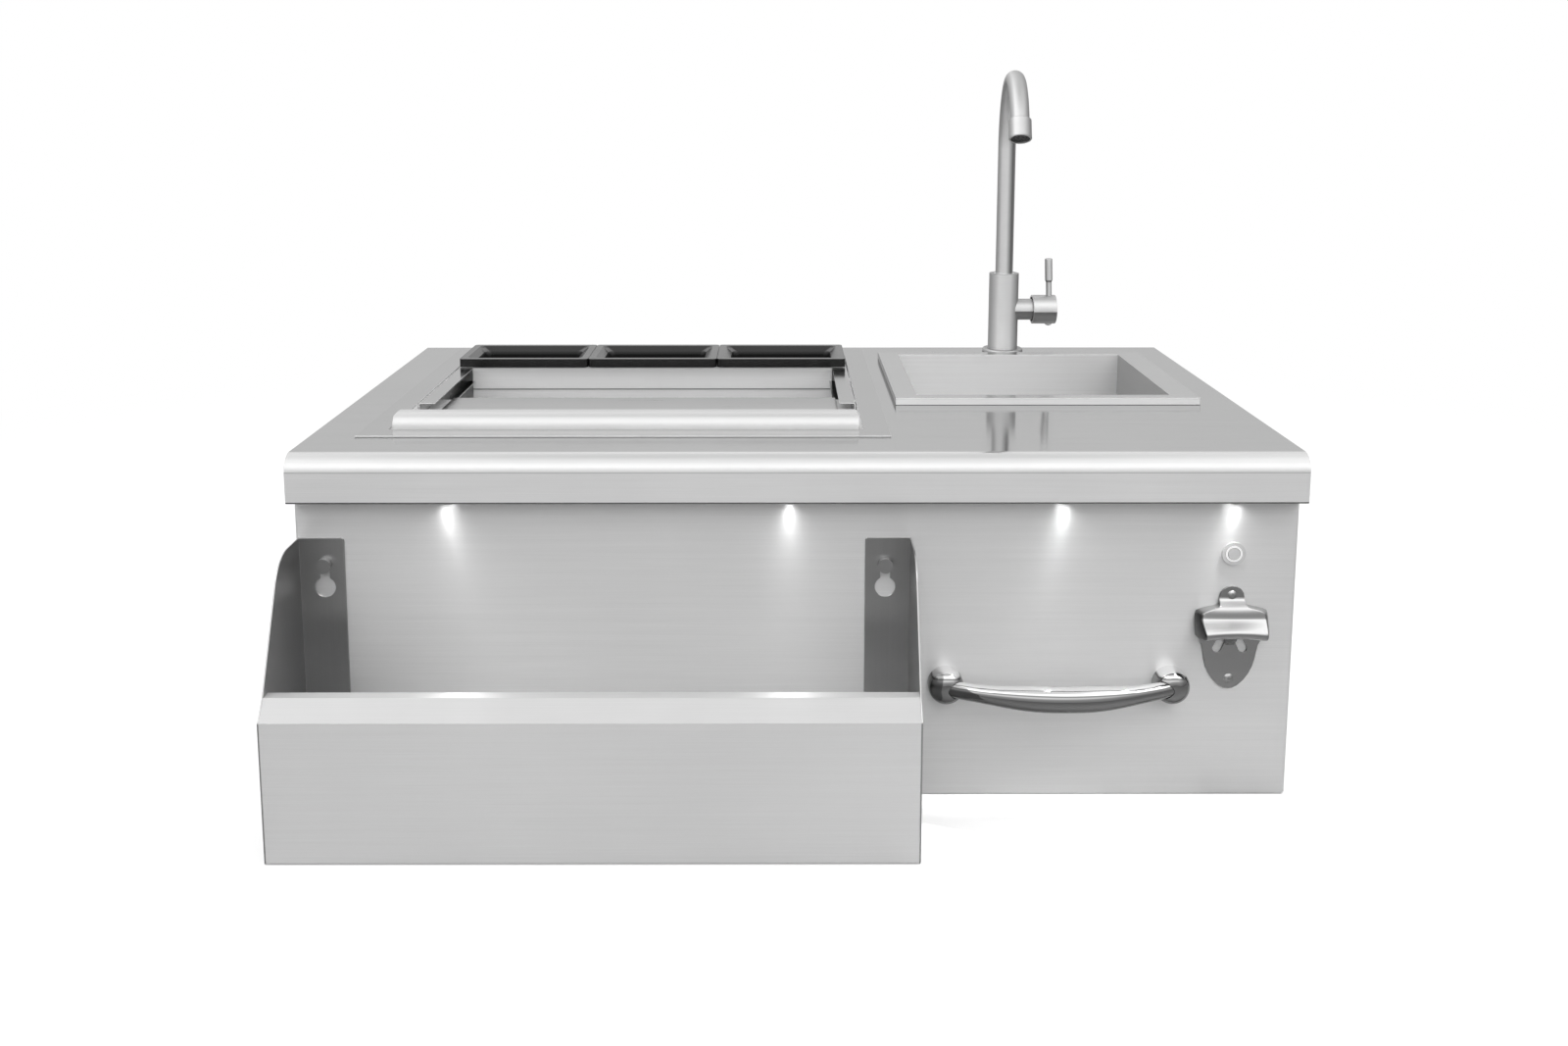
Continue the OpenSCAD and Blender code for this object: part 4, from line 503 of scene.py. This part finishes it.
# Painted down its height: shade from the pans' rims, then a painted bright band, with a painted shadow
# line at the band's lower edge.
rack_painted_light = [(0.0, 0.6), (0.2, 0.9), (0.4, 1.0), (0.405, 0.3), (0.425, 0.3), (0.43, 1.0), (1.0, 1.0)]
darkened(rack_steel, graded(rack_tree, down, rack_painted_light))
eased("condiment_rack", "condiment_channel", rack_steel, 0.3)
pan_plastic = moulded("pan_plastic", grey(0.012), 0.2, 0.1)
for node in ["condiment_pan_1", "condiment_pan_2", "condiment_pan_3"]:
    eased(node, node + "_moulding", pan_plastic, 1.0)


# ---- Sink ----
# A square welded bowl of brushed steel with a raised rim, and a basket waste with a cup, a rubber
# ring and a plastic nut below it.
sink_steel = steel("sink_steel", grey(1.0), 0.2, "along_x", 0.6, tint=0.8, metal=0.95)
# Painted light and shade by the way faces point: the counter's tones up and down, and walls that face the
# sides painted darker, those facing left most.
faced(sink_steel, "Z", painted_facing_light, [(0.0, 0.3), (0.6, 0.3), (0.95, 0.2), (0.99, 0.0)])
faced(sink_steel, "X", [(-1.0, 0.55), (-0.8, 0.55), (-0.5, 1.0), (0.5, 1.0), (0.8, 0.7), (1.0, 0.7)])
eased("sink_bowl", "bowl", sink_steel, 1.5)
for node in ["waste_body", "waste_basket", "waste_tailpiece"]:
    clad(node, turned_steel)
clad("waste_nut", grey_moulding)
rubber = moulded("rubber", grey(0.02), 0.7)
clad("waste_gasket", rubber)


# ---- Mixer ----
# A turned steel body with a bent tube for a spout and a side valve with a thin lever. It is
# brushed by turning it against fine abrasive, so the marks run round it.
body_steel = steel("body_steel", grey(1.0), 0.45, "round_z", 0.3, streak=0.03, cloud=0.0, metal=0.6)
# Painted light and shade across the body: lit from the left, dark to the right; faces that point up or
# down are painted darker than upright ones.
faced(body_steel, "X", [(-1.0, 0.5), (-0.5, 1.0), (0.3, 0.9), (1.0, 0.2)])
painted_level_shade = [(-1.0, 0.3), (-0.1, 0.2), (0.0, 1.0), (1.0, 0.3)]
faced(body_steel, "Z", painted_level_shade)
eased("mixer_body", "mixer_turned_body", body_steel, 0.3)
eased("mixer_base_ring", "mixer_ring", body_steel, 0.3)

# The tube's upright part and its arch get different painted reflection bands, from left to right across
# them; the one turns into the other a little in front of the mixer's middle. Faces that point up or down
# get painted shade too.
spout_steel = steel("spout_steel", grey(1.0), 0.5, "round_z", 0.0, streak=0.03, cloud=0.0, metal=0.75)
spout_tree = spout_steel.node_tree
base_low, base_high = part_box("mixer_base_ring")
arch_from = (base_low.y + base_high.y) / 2 - 10 * MM
arch_blend = 40 * MM
forward = maths(spout_tree, "SUBTRACT", arch_from, parts_of(spout_tree, "Object")["Y"])
forward = maths(spout_tree, "DIVIDE", forward, arch_blend, clamp=True)
across_x = maths(spout_tree, "MULTIPLY_ADD", parts_of(spout_tree, "Normal")["X"], 0.5, 0.5)
riser = graded(spout_tree, across_x, [(0.0, 0.5), (0.2, 1.0), (0.5, 1.0), (0.8, 0.2), (1.0, 0.5)])
arch = graded(spout_tree, across_x, [(0.0, 0.5), (0.2, 1.0), (1.0, 0.3)])
darkened(spout_steel, mixed(spout_tree, forward, riser, arch))
faced(spout_steel, "Z", [(-1.0, 0.6), (0.0, 1.0), (1.0, 0.4)])
eased("mixer_spout", "mixer_tube", spout_steel, 0.2)
eased("mixer_outlet", "mixer_outlet_ring", spout_steel, 0.2)
eased("valve_lever", "mixer_lever", body_steel, 0.2)
turned_across = steel("turned_across", grey(1.0), 0.45, "round_x", 0.3, streak=0.03, cloud=0.0, metal=0.6)
# The cap gets the same painted shade on faces that point up or down.
faced(turned_across, "Z", painted_level_shade)
eased("valve_cap", "mixer_cap", turned_across, 0.3)
for node in ["cap_plug", "mixer_fixings", "valve_cartridge", "valve_trunnion", "valve_stem"]:
    clad(node, turned_across)
clad("mixer_bush", white_nylon)
clad("aerator", black_moulding)


# ---- Lamps ----
# Four small round lamps pressed into the apron's underside shine down the front. Each has a
# clear lens in a steel ring; a driver box and its wires sit behind the panel.
clad("lamp_housings", turned_steel)
lit_lens = bpy.data.materials.new("lit_lens")
lit_lens.use_nodes = True
lens_inputs = lit_lens.node_tree.nodes["Principled BSDF"].inputs
lens_inputs["Base Color"].default_value = (0.9, 0.95, 1.0, 1)
lens_inputs["Emission Color"].default_value = full_white
lens_inputs["Emission Strength"].default_value = 3
clad("lamp_lenses", lit_lens)
clad("lamp_driver", black_moulding)
clad("lamp_wiring", rubber)
clad("power_gland", black_moulding)

# Each lamp is two lights just under its lens. The pool on the panel is one that stands a little
# nearer to the panel and isn't mirrored; the sheen is the one that the steel mirrors.
lens_low, lens_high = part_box("lamp_lenses")
lens_y = (lens_low.y + lens_high.y) / 2
under_lens = lens_low.z - 1 * MM
lamp_xs = [-365.5, -8, 279, 458]
beam_angle = 130
beam_radius = 0.003
light_kinds = [("pool", 5.5, 1.0, 5, False), ("sheen", 2.0, 1.024, 0, True)]
for kind, watts, spread, inward, mirrored_too in light_kinds:
    for i, x in enumerate(lamp_xs):
        beam = bpy.data.lights.new("lamp_%s_%d" % (kind, i + 1), "SPOT")
        beam.energy = watts
        beam.use_nodes = True
        beam_tree = beam.node_tree
        soft = put(beam_tree, "ShaderNodeLightFalloff", {"Strength": 1.0}).outputs["Linear"]
        beam_tree.links.new(soft, beam_tree.nodes["Emission"].inputs["Strength"])
        beam.spot_size = math.radians(beam_angle)
        beam.spot_blend = 1.0
        beam.shadow_soft_size = beam_radius
        small_lamp = bpy.data.objects.new(beam.name, beam)
        small_lamp.location = (x * spread * MM, lens_y + inward * MM, under_lens)
        small_lamp.visible_glossy = mirrored_too
        scene.collection.objects.link(small_lamp)


# ---- Switch ----
# A sprung steel button in a turned barrel, held in the front panel by a nut behind it. Round the
# button is a ring whose middle band is lit from inside.
spun = steel("spun_steel", grey(0.8), 0.5, "along_x", 0.8, metal=0.9)
clad("switch_body", spun)
clad("switch_button", spun)
clad("switch_nut", spun)
ring_steel = steel("ring_steel", grey(0.7), 0.5, "along_x", 0.8, metal=0.9)
ring_tree = ring_steel.node_tree
ring_inputs = ring_tree.nodes["Principled BSDF"].inputs
ring_low, ring_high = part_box("switch_ring")
ring_middle = (ring_low + ring_high) / 2
lit_from = 6.9 * MM
lit_to = 8.7 * MM
lit_strength = 0.5
off_axis = put(ring_tree, "ShaderNodeTexCoord").outputs["Object"]
for operation, by in [("SUBTRACT", ring_middle), ("MULTIPLY", (1, 0, 1))]:
    step = put(ring_tree, "ShaderNodeVectorMath", {0: off_axis, 1: by}, operation=operation)
    off_axis = step.outputs[0]
radius = put(ring_tree, "ShaderNodeVectorMath", {0: off_axis}, operation="LENGTH").outputs["Value"]
outside = maths(ring_tree, "GREATER_THAN", radius, lit_from)
lit_band = maths(ring_tree, "MULTIPLY", outside, maths(ring_tree, "LESS_THAN", radius, lit_to))
lit_band = maths(ring_tree, "MULTIPLY", lit_band, lit_strength)
ring_inputs["Emission Color"].default_value = full_white
ring_tree.links.new(lit_band, ring_inputs["Emission Strength"])
clad("switch_ring", ring_steel)


# ---- Opener ----
# Pressed from one sheet of polished steel: a flat shield with a round tab, two slots, and a hood
# drawn forward and rolled under at its lip, with a tongue below it. Two screws hold it.
polished = steel("polished_steel", grey(0.48), 0.18, "along_x", 0.35, cloud=0.03)
# Painted light and shade by the way faces point across: dark to the left, bright in the middle, dimmer to
# the right.
faced(polished, "X", [(-1.0, 0.2), (-0.6, 0.3), (-0.25, 1.0), (0.5, 1.0), (1.0, 0.6)])
opener_x = 463.8
panel_y = -225.6
opener_top = 237.5
sheet_t = 1.6

# Half of the shield's edge, as (across, down) in millimetres from the top of its tab.
half_edge = [
    (0, 0), (5, 0.8), (9.6, 3.6), (12.6, 8), (13.5, 13), (13.5, 21), (15, 25.5), (20, 28),
    (28, 30), (34, 33), (37.3, 38), (38.2, 45), (37, 53), (33.5, 60), (30.5, 66), (28.8, 74),
    (27.4, 82), (25.3, 90), (21.6, 98), (16.4, 105.5), (10, 111.5), (4.6, 114.4), (0, 115),
]
whole_edge = half_edge + [(-x, down) for x, down in half_edge[-2:0:-1]]
slots = []
for side in (-1, 1):
    ends = [(9.5 * side, 60.5, 4.2), (13.8 * side, 69.5, 4.6)]  # across, down and radius
    slot = []
    lean = math.atan2(ends[1][1] - ends[0][1], ends[1][0] - ends[0][0])
    for (x, down, r), turn in zip(ends, (math.pi, 0)):
        for k in range(9):
            angle = lean + turn - math.pi / 2 + math.pi * k / 8
            slot.append((x + r * math.cos(angle), down + r * math.sin(angle)))
    slots.append(slot)


def flat_plate(name, loops, thick, edge, y):
    """A sheet cut to closed loops, given as (across, down) in millimetres, with its edges eased."""
    path = bpy.data.curves.new(name, "CURVE")
    path.dimensions = "2D"
    path.fill_mode = "BOTH"
    path.extrude = (thick / 2 - edge) * MM
    path.bevel_depth = edge * MM
    path.bevel_resolution = 2
    path.offset = -edge * MM
    for loop in loops:
        spline = path.splines.new("POLY")
        spline.points.add(len(loop) - 1)
        spline.use_cyclic_u = True
        for point, (x, down) in zip(spline.points, loop):
            point.co = (x * MM, -down * MM, 0, 1)
    shape = bpy.data.objects.new(name, path)
    mesh = bpy.data.meshes.new_from_object(shape)
    bpy.data.objects.remove(shape)
    for vertex in mesh.vertices:
        x, up, out = vertex.co
        vertex.co = (opener_x * MM + x, (panel_y + y) * MM - out, opener_top * MM + up)
    return mesh


def skin(sheet, rows):
    """Fills in the faces between neighbouring rows of a sheet's points."""
    for upper, lower in zip(rows, rows[1:]):
        for k in range(len(upper) - 1):
            sheet.faces.new((upper[k], lower[k], lower[k + 1], upper[k + 1]))


# The hood's rows from the tab to its rolled lip, as (down, forward, half its width). From 20 mm
# down it stretches out to round cheeks, and from 34 mm down its lip bows.
hood_rows = [
    (11.4, 1.5, 13.3), (14.3, 1.8, 13.4), (16.4, 3.9, 13.5), (18.7, 6.8, 13.8), (20.6, 9.0, 15.0),
    (21.9, 10.2, 18.0), (23.2, 10.8, 23.5), (25.0, 11.4, 29.0), (27.0, 11.9, 31.4), (29.4, 12.4, 32.2),
    (32.0, 13.0, 32.6), (33.6, 14.0, 32.7), (36.4, 17.2, 32.6), (39.4, 20.8, 32.4), (42.2, 23.9, 32.2),
    (44.2, 25.4, 32.0), (46.6, 26.0, 31.8), (49.2, 25.4, 31.6), (51.4, 23.4, 31.4), (52.7, 20.6, 31.2),
    (52.8, 17.8, 31.0),
]
cheek = [(6.2, 0.0), (5.9, 0.25), (5.0, 0.5), (3.7, 0.72), (2.2, 0.88), (0.9, 0.97)]
crown = 0.9
stretch_from = 20
stretch_over = 7
bow_from = 34
bow_over = 9
lip_bow = 2.4
lip_half = 32
least_lift = 0.6
steps = 16
hood_t = 1.3
hood = bmesh.new()
rows = []
for down, out, half in hood_rows:
    stretch = min(1, max(0, (down - stretch_from) / stretch_over))
    row = [(-half - grow * stretch, out * share) for grow, share in cheek]
    for k in range(steps + 1):
        t = 2 * k / steps - 1
        row.append((half * t, out + crown * stretch * (1 - t * t)))
    row += [(half + grow * stretch, out * share) for grow, share in reversed(cheek)]
    bow = lip_bow * min(1, max(0, (down - bow_from) / bow_over))
    rows.append([
        hood.verts.new((
            (opener_x + x) * MM,
            (panel_y - max(lift, least_lift)) * MM,
            (opener_top - down - bow * (abs(x) / lip_half) ** 2 + bow * 0.5) * MM,
        ))
        for x, lift in row
    ])
skin(hood, rows)
bmesh.ops.recalc_face_normals(hood, faces=hood.faces)
bmesh.ops.solidify(hood, geom=hood.faces[:], thickness=hood_t * MM)
bmesh.ops.recalc_face_normals(hood, faces=hood.faces)

# The tongue under the hood grips a cap's edge. Its rows are given in the same way.
tongue_rows = [(46, 13.0, 9.0), (51, 10.5, 8.4), (56, 7.2, 7.6), (61, 3.8, 6.4), (66, 1.6, 4.6)]
tongue_t = 1.0
tongue = bmesh.new()
rows = []
for down, out, half in tongue_rows:
    rows.append([
        tongue.verts.new((
            (opener_x + half * t) * MM,
            (panel_y - out * (1 - 0.25 * t * t) - 0.3) * MM,
            (opener_top - down) * MM,
        ))
        for t in (-1, -0.5, 0, 0.5, 1)
    ])
skin(tongue, rows)
bmesh.ops.solidify(tongue, geom=tongue.faces[:], thickness=tongue_t * MM)
bmesh.ops.recalc_face_normals(tongue, faces=tongue.faces)

opener_meshes = {
    "opener_shield": flat_plate("opener_shield", [whole_edge] + slots, sheet_t, 0.5, -sheet_t / 2),
    "opener_hood": mesh_of("opener_hood", hood),
    "opener_tongue": mesh_of("opener_tongue", tongue),
}
for name, mesh in opener_meshes.items():
    placed(mesh, name, polished, body_of("opener_plate"), ["opener_plate"])
screw_steel = steel("screw_steel", grey(0.5), 0.4, "round_y", 0.3)
clad("opener_screws", screw_steel)


# ---- Towel bar ----
# A bent chromed tube between two domed posts, each held by a hidden screw through the panel. The
# tube and the posts are polished to a mirror before they are plated.
chrome = steel("chrome", grey(0.85), 0.03, "along_x", 0.0, streak=0.0, cloud=0.0, bump=0.0)
# Painted reflection by the way faces point: a dim room below, a dark streak where it ends, and full
# brightness above.
faced(chrome, "Z", [(-1.0, 0.2), (0.0, 0.4), (0.5, 0.4), (0.6, 0.1), (0.7, 1.0)])
eased("towel_bar", "bent_tube", chrome, 0.2)
eased("towel_bar_posts", "domed_posts", chrome, 0.3)


# ---- Speed rail ----
# A folded trough for bottles with an end plate welded at each side. Keyholes in its back hang it on
# shouldered studs in the panel, and it lifts off.
rail_steel = steel("rail_steel", grey(0.96), 0.5, "along_x", 0.8, cloud=0.02, metal=0.9)
# Painted shade: the trough's upward faces are darker than its upright ones.
faced(rail_steel, "Z", [(0.1, 1.0), (0.3, 0.68), (1.0, 0.68)])
bracket_steel = steel("bracket_steel", grey(0.52), 0.34, "along_z", 0.7)
# Painted round the bend between a bracket's side and its back: a painted highlight line, then a painted
# shade line.
bend_painted_light = [(0.25, 1.0), (0.35, 1.9), (0.6, 1.9), (0.7, 0.3), (0.9, 0.3), (0.96, 0.7)]
faced(bracket_steel, "X", [(-at, value) for at, value in reversed(bend_painted_light)] + bend_painted_light)
eased("speed_rail_trough", "bottle_trough", rail_steel, 0.3)
eased("speed_rail_left_end", "bottle_trough_left", bracket_steel, 0.3)
eased("speed_rail_right_end", "bottle_trough_right", bracket_steel, 0.3)
clad("hook_studs", screw_steel)
